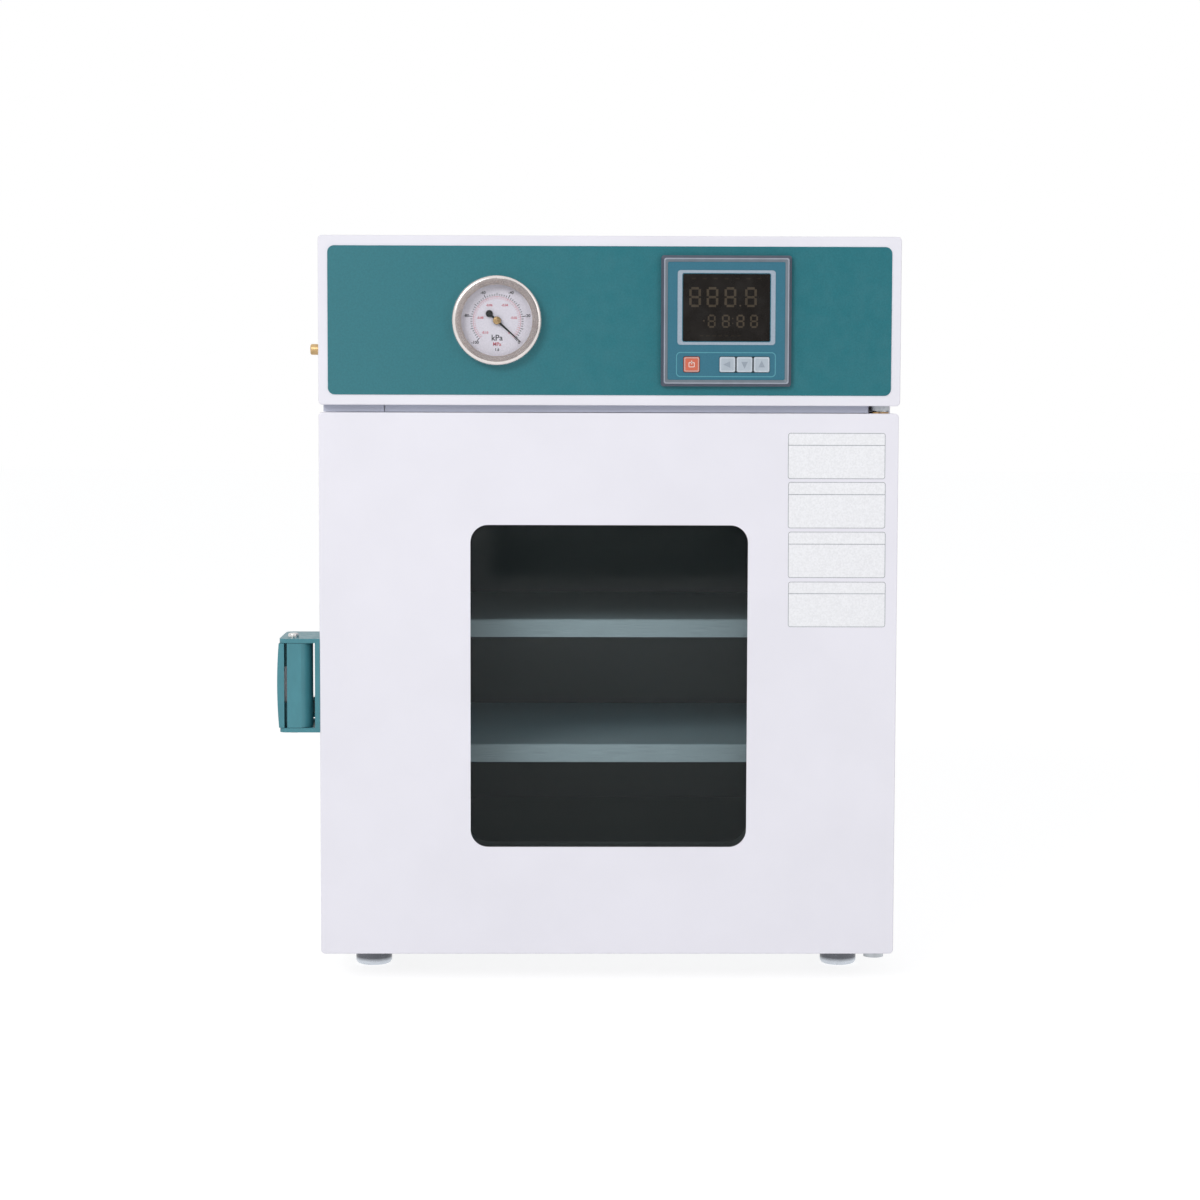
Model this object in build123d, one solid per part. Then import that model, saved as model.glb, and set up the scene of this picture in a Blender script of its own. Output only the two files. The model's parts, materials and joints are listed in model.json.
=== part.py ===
from build123d import *
import math
import os

# Benchtop vacuum oven, in millimetres.
# X runs to the right as seen from the front, Y runs back, Z is up.
# X = 0 is the cabinet's middle, Y = 0 its mid depth, Z = 0 the table under the feet.

# Overall cabinet
cabinet_width = 430.0
cabinet_depth = 440.0
foot_height = 23.0
door_lift = 1.0
door_height = 405.0
door_gap = 5.5
housing_height = 124.5
door_thickness = 60.0
seal_gap = 4.0
sheet = 1.2
frame_sheet = 1.5
sheet_corner = 3.0
pan_flange = 14.0
front_round = 0.9

# Clearances shared by every fit
fit = 0.05
running = 0.06
loose = 0.3

# Chamber
chamber_width = 300.0
chamber_height = 275.0
chamber_depth = 300.0
chamber_corner = 12.0
chamber_wall = 5.0
chamber_lift = 64.0
flange_width = 28.0
flange_thickness = 8.0
frame_lap = 6.0
rib_height = 16.0
rib_thickness = 6.0
rib_count = 2
gasket_width = 11.4
gasket_inset = 8.3
groove_depth = 4.0
insulation_wall = 36.0
heater_thickness = 2.0
heater_gap = 4.0
support_width = 240.0
support_depth = 20.0
support_sheet = 3.0
probe_radius = 2.5
probe_reach = 40.0
probe_tail = 30.0
gland_radius = 5.5
gland_length = 8.0

# Shelves and their rails
shelf_depth = 278.0
shelf_side_gap = 6.0
shelf_sheet = 2.0
shelf_lip = 14.0
shelf_setback = 80.0
shelf_heights = {"upper_shelf": 181.3, "lower_shelf": 84.1}
rail_size = 12.0
rail_sheet = 1.5
rail_length = 262.0

# Door and window
door_inset = 0.8
return_flange = 14.0
window_width = 206.0
window_height = 241.0
window_corner = 13.0
pane_lap = 9.0
pane_thickness = 5.0
liner_gap = 4.0
glass_thickness = 12.0
glass_margin = 24.0
glass_corner = 20.0
clamp_width = 24.0
clamp_reach = 16.0
clamp_lap = 3.5
clamp_thickness = 1.5

# Hinges
hinge_inset = 14.0
hinge_setback = 15.0
bracket_width = 15.0
bracket_thickness = 3.5
bracket_tail = 10.0
upper_bracket_length = 52.0
lower_bracket_length = 112.0
hinge_pin_radius = 3.5
hinge_pin_length = 21.5
hinge_pin_chamfer = 0.5
bush_radius = 6.0
bush_flange_radius = 7.2
bush_length = 15.0
hinge_block = 24.0

# Control panel
overlay_side = 7.1
overlay_edge = 7.6
overlay_corner = 5.0
overlay_thickness = 0.5
controller_x = 85.6
controller_size = 96.0
controller_border = 4.8
controller_proud = 6.0
controller_body = 91.5
controller_body_depth = 75.0
face_thickness = 2.0
face_recess = 1.0
display_width = 64.1
display_height = 49.3
display_lift = 9.8
key_drop = 31.9
key_width = 11.7
key_height = 11.3
key_thickness = 1.8
key_proud = 0.8
key_corner = 1.3
key_edge = 0.4
key_places = {"power_key": -25.5, "shift_key": 0.9, "down_key": 13.5, "up_key": 26.1}

# Vacuum gauge
gauge_x = -83.3
gauge_radius = 33.0
gauge_sight_radius = 26.2
gauge_proud = 9.5
gauge_case_radius = 29.9
gauge_case_depth = 27.5
gauge_wall = 1.2
bezel_round = 2.6
bezel_step = 2.0
bezel_lip = 0.8
dial_setback = 3.0
dial_thickness = 1.0
lens_thickness = 2.0
pointer_length = 23.6
pointer_tail = 7.6
pointer_angle = -42.0
spindle_radius = 1.2
spindle_depth = 7.0
hub_radius = 3.0
needle_width = 1.8
needle_tip = 0.5
tail_width = 1.6
tail_disc = 2.6
needle_sheet = 0.5
needle_lift = 1.6
stem_radius = 7.0
stem_hexagon = 11.0
stem_length = 14.0

# Vacuum line
nozzle_setback = 250.0
nozzle_lift = 43.5
nozzle_radius = 4.5
nozzle_bore = 3.0
nozzle_length = 23.0
nozzle_seat = 12.0
nozzle_hexagon = 7.3
nozzle_hexagon_length = 5.0
manifold_width = 30.0
manifold_height = 24.0
tube_radius = 4.0
thin_tube_radius = 2.5
tube_wall = 1.0
tube_bend = 10.0
riser_reach = 14.0
vent_line_lift = 40.0
port_x = -120.0
port_drop = 25.0
port_length = 36.0
valve_setback = 330.0
knob_radius = 11.0
knob_length = 21.0
knob_gap = 1.5
knob_flutes = 8
flute_radius = 3.2
valve_size = 20.0
valve_length = 26.0
valve_stem_depth = 14.0
valve_stem_radius = 3.0
valve_boss_radius = 8.0
valve_boss_length = 9.2

# Electrical parts
tray_lip = 10.0
sink_x = 30.0
sink_setback = 280.0
sink_width = 70.0
sink_depth = 60.0
sink_height = 30.0
sink_base = 5.0
fin_count = 8
fin_thickness = 2.4
relay_gap = 4.0
relay_width = 44.0
relay_depth = 58.0
relay_height = 24.0
inlet_x = 150.0
inlet_lift = 31.5
inlet_width = 27.0
inlet_height = 20.0
inlet_flange_width = 48.0
inlet_flange_height = 28.0
inlet_flange_thickness = 3.0
inlet_pin_pitch = 7.0
inlet_pin_width = 2.0
inlet_pin_height = 4.0
inlet_pin_length = 13.5
socket_width = 24.0
socket_height = 16.4
socket_depth = 16.5
inlet_body_depth = 22.0
louvre_width = 60.0
louvre_radius = 4.0
louvre_rows = 6
louvre_pitch = 12.0
louvre_drop = 26.0
louvre_columns = (-130.0, -50.0)

# Feet
foot_x = 181.0
foot_inset = 84.0
foot_rear_inset = 30.0
foot_radius = 14.0
foot_stud_radius = 3.0
foot_stud_length = 6.0
pad_radius = 10.0
pad_height = 3.0

# Latch on the door's left side
latch_lift = 202.0
latch_height = 70.0
latch_length = 62.0
latch_base_thickness = 3.6
latch_plate = 3.2
latch_out = 31.7
latch_bow = 1.6
latch_wall = 5.2
latch_pin_out = 20.5
latch_pin_setback = 13.0
latch_pin_radius = 3.0
latch_pin_head = 4.0
latch_barrel_radius = 14.6
latch_barrel_wall = 3.2
latch_boss_radius = 6.5
latch_slot = 2.2
latch_boss_height = 18.0
claw_thickness = 4.0
claw_lift = 9.0
claw_hook = 5.4
claw_play = 0.6
claw_arm_play = 1.0
claw_lug_inset = 2.0
claw_lug_length = 25.0
claw_lug_reach = 7.0
claw_screw_inset = 6.0
spring_wire = 0.7
spring_turns = 6
roller_radius = 4.0
roller_height = 8.0
roller_out = 12.0
roller_setback = 73.0
rivet_radius = 2.0
strike_sheet = 2.0
strike_ear = 3.5
strike_length = 36.0
strike_gap = 2.0
strike_tab = 12.0
roller_end_play = 0.4

# Screws
screw_radius = 2.0
screw_head_radius = 3.6
screw_head_height = 1.5
screw_length = 8.0
rear_screw_inset = 9.0

# Places worked out from the sizes above
half_width = cabinet_width / 2
front_y = -cabinet_depth / 2
back_y = cabinet_depth / 2
base_z = foot_height
door_bottom = base_z + door_lift
door_top = door_bottom + door_height
housing_bottom = door_top + door_gap
top_z = housing_bottom + housing_height
panel_z = housing_bottom + housing_height / 2
door_back = front_y + door_thickness
seam_y = door_back + seal_gap
inside_back = back_y - frame_sheet
flange_front = seam_y + frame_sheet
flange_back = flange_front + flange_thickness
chamber_bottom = door_bottom + chamber_lift
chamber_z = chamber_bottom + chamber_height / 2
chamber_back = flange_front + chamber_depth
shell_inside = half_width - sheet
rib_half_width = chamber_width / 2 + chamber_wall + rib_height
rib_bottom = chamber_bottom - chamber_wall - rib_height
rib_top = chamber_bottom + chamber_height + chamber_wall + rib_height
insulation_top = rib_top + insulation_wall
tray_bottom = insulation_top
tray_top = tray_bottom + sheet
overlay_front = front_y - overlay_thickness
bezel_front = overlay_front - controller_proud
face_front = bezel_front + face_recess
face_back = face_front + face_thickness
glass_back = door_back
glass_front = glass_back - glass_thickness
pane_front = front_y + sheet
pane_back = pane_front + pane_thickness
hinge_x = half_width - hinge_inset
hinge_y = front_y + hinge_setback
dial_front = front_y + dial_setback
lens_front = overlay_front - gauge_proud / 2
latch_bottom = door_bottom + latch_lift - latch_height / 2
latch_top = latch_bottom + latch_height
latch_back = front_y + latch_length
latch_pin_x = -half_width - latch_pin_out
latch_pin_y = front_y + latch_pin_setback
lever_bottom = latch_bottom + latch_plate + loose
lever_top = latch_top - latch_plate - loose
lever_inside = -half_width - latch_out + latch_wall
roller_x = -half_width - roller_out
roller_y = front_y + roller_setback
claw_bottom = latch_bottom + claw_lift
claw_top = claw_bottom + claw_thickness
strike_front = seam_y + strike_gap
lug_back = latch_back - claw_lug_inset
lug_front = lug_back - claw_lug_length
lug_side = latch_pin_x + claw_lug_reach
screw_hole = screw_radius + fit
nozzle_y = front_y + nozzle_setback
nozzle_height = housing_bottom + nozzle_lift
inlet_z = housing_bottom + inlet_lift
valve_y = front_y + valve_setback
port_z = chamber_bottom + chamber_height - port_drop


# Shared shapes
def block(x0, x1, y0, y1, z0, z1):
    """A box between two corners."""
    middle = Pos((x0 + x1) / 2, (y0 + y1) / 2, (z0 + z1) / 2)
    return middle * Box(x1 - x0, y1 - y0, z1 - z0)


def seen_from_front(sketch, y0, y1):
    """A sketch drawn in X and Z, made solid from y0 back to y1."""
    plane = Plane(origin=(0, y0, 0), x_dir=(1, 0, 0), z_dir=(0, -1, 0))
    return extrude(plane * sketch, amount=y0 - y1)


def seen_from_above(sketch, z0, z1):
    """A sketch drawn in X and Y, made solid from z0 up to z1."""
    return extrude(Pos(0, 0, z0) * sketch, amount=z1 - z0)


def seen_from_side(sketch, x0, x1):
    """A sketch drawn in Y and Z, made solid from x0 to x1."""
    plane = Plane(origin=(x0, 0, 0), x_dir=(0, 1, 0), z_dir=(1, 0, 0))
    return extrude(plane * sketch, amount=x1 - x0)


def rounded(x, z, width, height, corner):
    """A rounded rectangle round a centre."""
    return Pos(x, z) * RectangleRounded(width, height, corner)


def rod_x(radius, x0, x1, y, z):
    """A cylinder along X."""
    return Pos((x0 + x1) / 2, y, z) * Rot(0, 90, 0) * Cylinder(radius, abs(x1 - x0))


def rod_y(radius, x, y0, y1, z):
    """A cylinder along Y."""
    return Pos(x, (y0 + y1) / 2, z) * Rot(90, 0, 0) * Cylinder(radius, abs(y1 - y0))


def rod_z(radius, x, y, z0, z1):
    """A cylinder along Z."""
    return Pos(x, y, (z0 + z1) / 2) * Cylinder(radius, abs(z1 - z0))


def chamber_outline(margin, corner):
    """The chamber's mouth grown by a margin on every side."""
    return rounded(0, chamber_z, chamber_width + 2 * margin, chamber_height + 2 * margin, corner)


def window_outline(margin, corner):
    """The window opening grown by a margin on every side."""
    return rounded(0, chamber_z, window_width + 2 * margin, window_height + 2 * margin, corner)


def tube_along(points, bend, radius, bore):
    """A bent tube through a list of points."""
    path = FilletPolyline(*points, radius=bend)
    section = Plane(origin=path @ 0, z_dir=path % 0)
    wall = Circle(radius) - Circle(bore)
    return sweep(section * wall, path=path)


# Cabinet
def outer_shell():
    """Folded wrapper: both sides and the top in one sheet."""
    height = top_z - base_z
    outer = Pos(0, base_z + height / 2) * Rectangle(cabinet_width, height)
    outer = fillet(outer.vertices().sort_by(Axis.Y)[-2:], sheet_corner)
    inner = Pos(0, base_z + height / 2 - sheet) * Rectangle(2 * shell_inside, height)
    inner = fillet(inner.vertices().sort_by(Axis.Y)[-2:], sheet_corner - sheet)
    shell = seen_from_front(outer - inner, seam_y, back_y)
    shell -= rod_x(nozzle_radius + 1, -half_width - 1, -shell_inside + 1, nozzle_y, nozzle_height)
    shell -= rod_x(valve_boss_radius + fit, shell_inside - 1, half_width + 1, valve_y, nozzle_height)
    for y, z in strike_screws():
        shell -= rod_x(screw_hole, -half_width - 1, -shell_inside + 1, y, z)
    return shell


def control_housing():
    """Upper front box that stands flush with the door and carries the controls."""
    outer = rounded(0, panel_z, cabinet_width, housing_height, sheet_corner)
    inner = rounded(0, panel_z, 2 * shell_inside, housing_height - 2 * sheet, sheet_corner - sheet)
    housing = seen_from_front(outer, front_y, seam_y)
    housing = fillet(housing.edges().group_by(Axis.Y)[0], front_round)
    housing -= seen_from_front(inner, front_y + sheet, seam_y + 1)
    housing -= panel_cutouts(front_y - 1, front_y + sheet + 1)
    for y in upper_bracket_screws():
        housing -= rod_z(screw_hole, bracket_tail_x(), y, housing_bottom - 1, housing_bottom + sheet + 1)
    return housing


def panel_cutouts(y0, y1):
    """The holes for the gauge and the controller."""
    hole = rod_y(gauge_case_radius + loose, gauge_x, y0, y1, panel_z)
    side = controller_body / 2 + loose
    hole += block(controller_x - side, controller_x + side, y0, y1, panel_z - side, panel_z + side)
    return hole


def control_overlay():
    """Coloured plastic sheet stuck on the control panel."""
    width = cabinet_width - 2 * overlay_side
    height = housing_height - 2 * overlay_edge
    overlay = seen_from_front(rounded(0, panel_z, width, height, overlay_corner), overlay_front, front_y)
    return overlay - panel_cutouts(overlay_front - 1, front_y + 1)


def base_pan():
    """Folded floor of the cabinet."""
    outer = block(-shell_inside, shell_inside, seam_y, inside_back, base_z, base_z + pan_flange)
    hollow_bottom = base_z + frame_sheet
    side = shell_inside - frame_sheet
    pan = outer - block(-side, side, seam_y - 1, inside_back + 1, hollow_bottom, base_z + pan_flange + 1)
    for x, y in foot_places():
        pan -= rod_z(foot_stud_radius + fit, x, y, base_z - 1, hollow_bottom + 1)
    for y in lower_bracket_screws():
        pan -= rod_z(screw_hole, bracket_tail_x(), y, base_z - 1, hollow_bottom + 1)
    return pan


def front_frame():
    """White face behind the door, round the chamber's mouth."""
    side = shell_inside - frame_sheet - loose
    sketch = Pos(0, (base_z + frame_sheet + housing_bottom) / 2)
    sketch *= Rectangle(2 * side, housing_bottom - base_z - frame_sheet)
    sketch -= chamber_outline(flange_width - frame_lap, chamber_corner + flange_width / 2)
    return seen_from_front(sketch, seam_y, flange_front)


def louvre_places():
    """Where the rear louvres sit, as X and Z."""
    top = top_z - louvre_drop
    return [(x, top - row * louvre_pitch) for x in louvre_columns for row in range(louvre_rows)]


def louvre(x, z):
    """One pressed louvre: a quarter-round hood over a slot, open downwards."""
    half = louvre_width / 2
    outer = rod_x(louvre_radius, x - half, x + half, back_y, z)
    inner = rod_x(louvre_radius - sheet, x - half + sheet, x + half - sheet, back_y, z)
    above = block(x - half, x + half, back_y, back_y + louvre_radius, z, z + louvre_radius)
    return (outer & above) - inner


def rear_panel():
    """Rear cover with cooling louvres and the holes of the electrical parts."""
    width = 2 * (shell_inside - loose)
    height = top_z - sheet - loose - base_z
    outline = rounded(0, base_z + height / 2, width, height, sheet_corner)
    panel = seen_from_front(outline, inside_back, back_y)
    for x, z in louvre_places():
        half = louvre_width / 2 - sheet
        slot_height = louvre_radius - sheet
        panel -= block(x - half, x + half, inside_back - 1, back_y + 1, z, z + slot_height)
        panel += louvre(x, z)
    half = inlet_width / 2 + loose
    rise = inlet_height / 2 + loose
    z = inlet_z
    panel -= block(inlet_x - half, inlet_x + half, inside_back - 1, back_y + 1, z - rise, z + rise)
    for x, z in rear_screws():
        panel -= rod_y(screw_hole, x, inside_back - 1, back_y + 1, z)
    return panel


def electronics_tray():
    """Shelf over the insulation that carries the electrical parts."""
    side = shell_inside - loose
    front = flange_front + loose
    back = inside_back - loose
    tray = block(-side, side, front, back, tray_bottom, tray_top)
    tray += block(-side, side, front, front + sheet, tray_bottom, tray_top + tray_lip)
    return tray - rod_z(tube_radius + 1.5, port_x, riser_y(), tray_bottom - 1, tray_top + 1)


# Chamber and what surrounds it
def vacuum_chamber():
    """Welded stainless box with a thick mouth flange, hoop ribs and an outlet stub."""
    outer = chamber_outline(chamber_wall, chamber_corner + chamber_wall)
    outside_back = chamber_back + chamber_wall
    body = seen_from_front(outer, flange_front, outside_back)
    for y in rib_places():
        ring = chamber_outline(chamber_wall + rib_height, chamber_corner)
        body += seen_from_front(ring, y, y + rib_thickness)
    flange = chamber_outline(flange_width, chamber_corner + flange_width / 2)
    body += seen_from_front(flange, flange_front, flange_back)
    body += rod_y(tube_radius + 3, port_x, outside_back - 1, outside_back + port_length, port_z)
    body -= seen_from_front(chamber_outline(0, chamber_corner), flange_front - 1, chamber_back)
    body -= gasket_ring(loose, flange_front - 1, flange_front + groove_depth)
    body -= rod_y(tube_radius + fit, port_x, chamber_back - 1, outside_back + port_length + 1, port_z)
    body -= rod_y(probe_radius + fit, -port_x, chamber_back - 1, outside_back + 1, port_z)
    return body


def rib_places():
    """The front face of each hoop rib, evenly spaced along the chamber."""
    pitch = chamber_depth / (rib_count + 1)
    return [flange_front + pitch * (i + 1) - rib_thickness / 2 for i in range(rib_count)]


def gasket_ring(clearance, y0, y1):
    """The ring in the mouth flange where the seal lies, with a clearance on both sides."""
    inner = gasket_inset - clearance
    outer = gasket_inset + gasket_width + clearance
    ring = chamber_outline(outer, chamber_corner + outer)
    ring -= chamber_outline(inner, chamber_corner + inner)
    return seen_from_front(ring, y0, y1)


def door_gasket():
    """Silicone seal in the flange's groove, just short of the closed door's glass."""
    return gasket_ring(0, glass_back + loose, flange_front + groove_depth)


def chamber_supports():
    """Two channels that carry the chamber's ribs on the base pan."""
    supports = []
    for y in rib_places():
        middle = y + rib_thickness / 2
        half = support_width / 2
        reach = support_depth / 2
        bottom = base_z + frame_sheet
        outer = block(-half, half, middle - reach, middle + reach, bottom, rib_bottom)
        inner = reach - support_sheet
        under = rib_bottom - support_sheet
        hollow = block(-half - 1, half + 1, middle - inner, middle + inner, bottom - 1, under)
        supports.append(outer - hollow)
    return supports


def chamber_insulation():
    """Mineral wool jacket over the ribs, open at the chamber's mouth."""
    half = rib_half_width + insulation_wall
    back = chamber_back + chamber_wall + insulation_wall
    bottom = base_z + frame_sheet + 6
    jacket = block(-half, half, flange_back, back, bottom, insulation_top)
    cavity_back = chamber_back + chamber_wall + loose
    jacket -= block(-rib_half_width, rib_half_width, flange_back - 1, cavity_back, rib_bottom, rib_top)
    for y in rib_places():
        middle = y + rib_thickness / 2
        reach = support_depth / 2 + loose
        side = support_width / 2 + loose
        jacket -= block(-side, side, middle - reach, middle + reach, bottom - 1, rib_bottom + 1)
    jacket -= rod_y(tube_radius + 3 + loose, port_x, cavity_back - 1, back + 1, port_z)
    jacket -= rod_y(gland_radius + loose, -port_x, cavity_back - 1, back + 1, port_z)
    return jacket


def heater_pads():
    """Flat heating pads on both sides and under the chamber, between the ribs."""
    pads = []
    edges = [flange_back] + rib_places() + [chamber_back]
    side = chamber_width / 2 + chamber_wall
    low = chamber_bottom + 2 * chamber_corner
    high = chamber_bottom + chamber_height - 2 * chamber_corner
    half = chamber_width / 2 - 2 * chamber_corner
    for start, end in zip(edges, edges[1:]):
        y0 = start + rib_thickness + heater_gap
        y1 = end - heater_gap
        pads.append(block(-side - heater_thickness, -side, y0, y1, low, high))
        pads.append(block(side, side + heater_thickness, y0, y1, low, high))
        under = chamber_bottom - chamber_wall
        pads.append(block(-half, half, y0, y1, under - heater_thickness, under))
    return pads


def temperature_probe():
    """Stem through the chamber's rear wall, with a hexagonal gland behind."""
    outside_back = chamber_back + chamber_wall
    start = chamber_back - probe_reach
    probe = rod_y(probe_radius, -port_x, start, outside_back + probe_tail, port_z)
    gland = Pos(-port_x, port_z) * RegularPolygon(radius=gland_radius, side_count=6)
    return probe + seen_from_front(gland, outside_back, outside_back + gland_length)


def shelf_half_width():
    """Half the width of a shelf."""
    return chamber_width / 2 - shelf_side_gap


def shelf_rails():
    """Four angle strips on the chamber's side walls, two under each shelf."""
    rails = []
    y0 = chamber_back - 6 - rail_length
    for height in shelf_heights.values():
        top = chamber_bottom + height - shelf_sheet - loose
        wall = chamber_width / 2
        for side in (-1, 1):
            x0, x1 = sorted((side * wall, side * (wall - rail_size)))
            ledge = block(x0, x1, y0, y0 + rail_length, top - rail_sheet, top)
            x0, x1 = sorted((side * wall, side * (wall - rail_sheet)))
            rails.append(ledge + block(x0, x1, y0, y0 + rail_length, top - rail_size, top))
    return rails


def shelf(name):
    """A sheet shelf with turned-down lips at its front and back."""
    top = chamber_bottom + shelf_heights[name]
    half = shelf_half_width()
    y0 = front_y + shelf_setback
    y1 = y0 + shelf_depth
    outline = Pos((y0 + y1) / 2, top - shelf_lip / 2) * Rectangle(shelf_depth, shelf_lip)
    outline = fillet(outline.vertices().sort_by(Axis.Y)[-2:], shelf_sheet)
    inside = Pos((y0 + y1) / 2, top - shelf_lip / 2 - shelf_sheet)
    outline -= inside * Rectangle(shelf_depth - 2 * shelf_sheet, shelf_lip)
    plate = seen_from_side(outline, -half, half)
    lip_side = chamber_width / 2 - rail_size - 2
    for side in (-1, 1):
        x0, x1 = sorted((side * lip_side, side * (half + 1)))
        plate -= block(x0, x1, y0 + shelf_sheet + 8, y1 + 1, top - shelf_lip - 1, top - shelf_sheet)
    return plate


# Door
def door_shell():
    """Folded outer door with a window opening, return flanges and hinge blocks."""
    right = half_width - door_inset
    width = half_width + right
    middle = (right - half_width) / 2
    centre_z = (door_bottom + door_top) / 2
    rim_back = door_back - sheet
    outline = rounded(middle, centre_z, width, door_height, sheet_corner)
    body = seen_from_front(outline, front_y, rim_back)
    body = fillet(body.edges().group_by(Axis.Y)[0], front_round)
    hollow = rounded(middle, centre_z, width - 2 * sheet, door_height - 2 * sheet, sheet_corner - sheet)
    body -= seen_from_front(hollow, front_y + sheet, rim_back - sheet)
    mouth_width = width - 2 * return_flange
    mouth = rounded(middle, centre_z, mouth_width, door_height - 2 * return_flange, sheet_corner)
    body -= seen_from_front(mouth, rim_back - sheet - 1, rim_back + 1)
    body -= seen_from_front(window_outline(0, window_corner), front_y - 1, front_y + sheet + 1)
    block_x = right - sheet - hinge_block
    block_y = front_y + sheet + hinge_block
    for z0, z1 in (
        (door_bottom + sheet, door_bottom + bush_length),
        (door_top - bush_length, door_top - sheet),
    ):
        body += block(block_x, right - sheet, front_y + sheet, block_y, z0, z1)
        body -= rod_z(bush_radius + fit, hinge_x, hinge_y, z0 - 2 * sheet, z1 + 2 * sheet)
    for x, z in door_panel_screws():
        body -= rod_y(screw_hole, x, rim_back - sheet - 1, rim_back + 1, z)
    for y, z in latch_base_screws():
        body -= rod_x(screw_hole, -half_width - 1, -half_width + sheet + 1, y, z)
    return body


def glass_outline(margin):
    """The thick glass's outline grown by a margin."""
    return chamber_outline(glass_margin + margin, glass_corner + margin)


def door_inner_panel():
    """White sheet that closes the door's back round the thick glass."""
    right = half_width - door_inset
    width = half_width + right - 1
    centre_z = (door_bottom + door_top) / 2
    middle = (right - half_width) / 2
    sketch = rounded(middle, centre_z, width, door_height - 1, sheet_corner)
    sketch -= glass_outline(1)
    panel = seen_from_front(sketch, door_back - sheet, door_back)
    for x, z in door_panel_screws():
        panel -= rod_y(screw_hole, x, door_back - sheet - 1, door_back + 1, z)
    for x, z in clamp_screws():
        panel -= rod_y(screw_hole, x, door_back - sheet - 1, door_back + 1, z)
    return panel


def window_pane():
    """Tinted outer pane behind the window opening."""
    return seen_from_front(window_outline(pane_lap, window_corner + 5), pane_front, pane_back)


def window_liner():
    """Folded lining between the two panes, with a seat for the thick glass."""
    inner = window_outline(liner_gap, window_corner + liner_gap)
    outer = window_outline(liner_gap + sheet, window_corner + liner_gap + sheet)
    liner = seen_from_front(outer - inner, pane_back, glass_front)
    seat = glass_outline(5) - inner
    return liner + seen_from_front(seat, glass_front - sheet, glass_front)


def chamber_glass():
    """Thick toughened plate that presses on the chamber's seal."""
    return seen_from_front(glass_outline(0), glass_front, glass_back)


def door_insulation():
    """Mineral wool that fills the door round the window lining."""
    left = -half_width + sheet + 9
    right = half_width - door_inset - sheet - hinge_block - 1
    low = door_bottom + sheet + 1
    high = door_top - sheet - 1
    fill = block(left, right, pane_back + 1, glass_front - sheet - 1, low, high)
    hole = window_outline(liner_gap + sheet + loose, window_corner + liner_gap + sheet)
    return fill - seen_from_front(hole, front_y, door_back)


def clamp_places():
    """Where the glass clamps sit: X, Z and the way each one faces."""
    half_w = chamber_width / 2 + glass_margin
    half_h = chamber_height / 2 + glass_margin
    places = []
    for share in (-0.5, 0.5):
        places.append((half_w, chamber_z + share * chamber_height, (1, 0)))
        places.append((-half_w, chamber_z + share * chamber_height, (-1, 0)))
        places.append((share * chamber_width, chamber_z + half_h, (0, 1)))
        places.append((share * chamber_width, chamber_z - half_h, (0, -1)))
    return places


def glass_clamps():
    """Small plates that hold the glass's edge against its seat."""
    clamps = []
    middle = clamp_reach / 2 - clamp_lap
    for x, z, (dx, dz) in clamp_places():
        width = clamp_reach if dx else clamp_width
        height = clamp_width if dx else clamp_reach
        plate = rounded(x + dx * middle, z + dz * middle, width, height, 3)
        clamp = seen_from_front(plate, glass_back, glass_back + clamp_thickness)
        hole_x = x + dx * clamp_screw_reach()
        hole_z = z + dz * clamp_screw_reach()
        clamps.append(clamp - rod_y(screw_hole, hole_x, glass_back - 1, glass_back + 3, hole_z))
    return clamps


def clamp_screw_reach():
    """How far outside the glass's edge a clamp's screw stands."""
    return (clamp_reach - clamp_lap) / 2 + 1


def clamp_screws():
    """The clamp screws' places, as X and Z."""
    reach = clamp_screw_reach()
    return [(x + dx * reach, z + dz * reach) for x, z, (dx, dz) in clamp_places()]


def door_panel_screws():
    """The inner panel's screws in the door's return flanges, as X and Z."""
    inset = return_flange / 2
    low = door_bottom + inset
    high = door_top - inset
    right = half_width - door_inset - inset
    left = -half_width + inset
    middle = (low + high) / 2
    quarter = (high - low) / 4
    points = [(x, z) for x in (left, 0, right) for z in (low, high)]
    return points + [(x, z) for x in (left, right) for z in (middle - quarter, middle, middle + quarter)]


# Hinges
def upper_bracket_screws():
    """Depths of the two screws that hold the upper hinge bracket."""
    return [hinge_y + 16, hinge_y + upper_bracket_length - 18]


def lower_bracket_screws():
    """Depths of the two screws that hold the lower hinge bracket."""
    end = hinge_y - bracket_width / 2 + lower_bracket_length
    return [end - 10, end - 32]


def bracket_tail_x():
    """Middle of a bracket's tail, which runs flush with the eye's outer side."""
    return hinge_x + (bracket_width - bracket_tail) / 2


def bracket(length, z0, screws):
    """A flat hinge bracket with a round front end, a pin hole and screw holes."""
    half = bracket_width / 2
    end = hinge_y - half + length
    outline = Pos(hinge_x, hinge_y) * Circle(half)
    outline += Pos(bracket_tail_x(), (hinge_y + end) / 2) * Rectangle(bracket_tail, end - hinge_y)
    outline -= Pos(hinge_x, hinge_y) * Circle(hinge_pin_radius + fit)
    for y in screws:
        outline -= Pos(bracket_tail_x(), y) * Circle(screw_hole)
    return seen_from_above(outline, z0, z0 + bracket_thickness)


def hinge_brackets():
    """Upper bracket under the control housing, lower one under the base pan."""
    upper = bracket(upper_bracket_length, housing_bottom - bracket_thickness, upper_bracket_screws())
    lower = bracket(lower_bracket_length, base_z - bracket_thickness, lower_bracket_screws())
    return [upper, lower]


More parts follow.
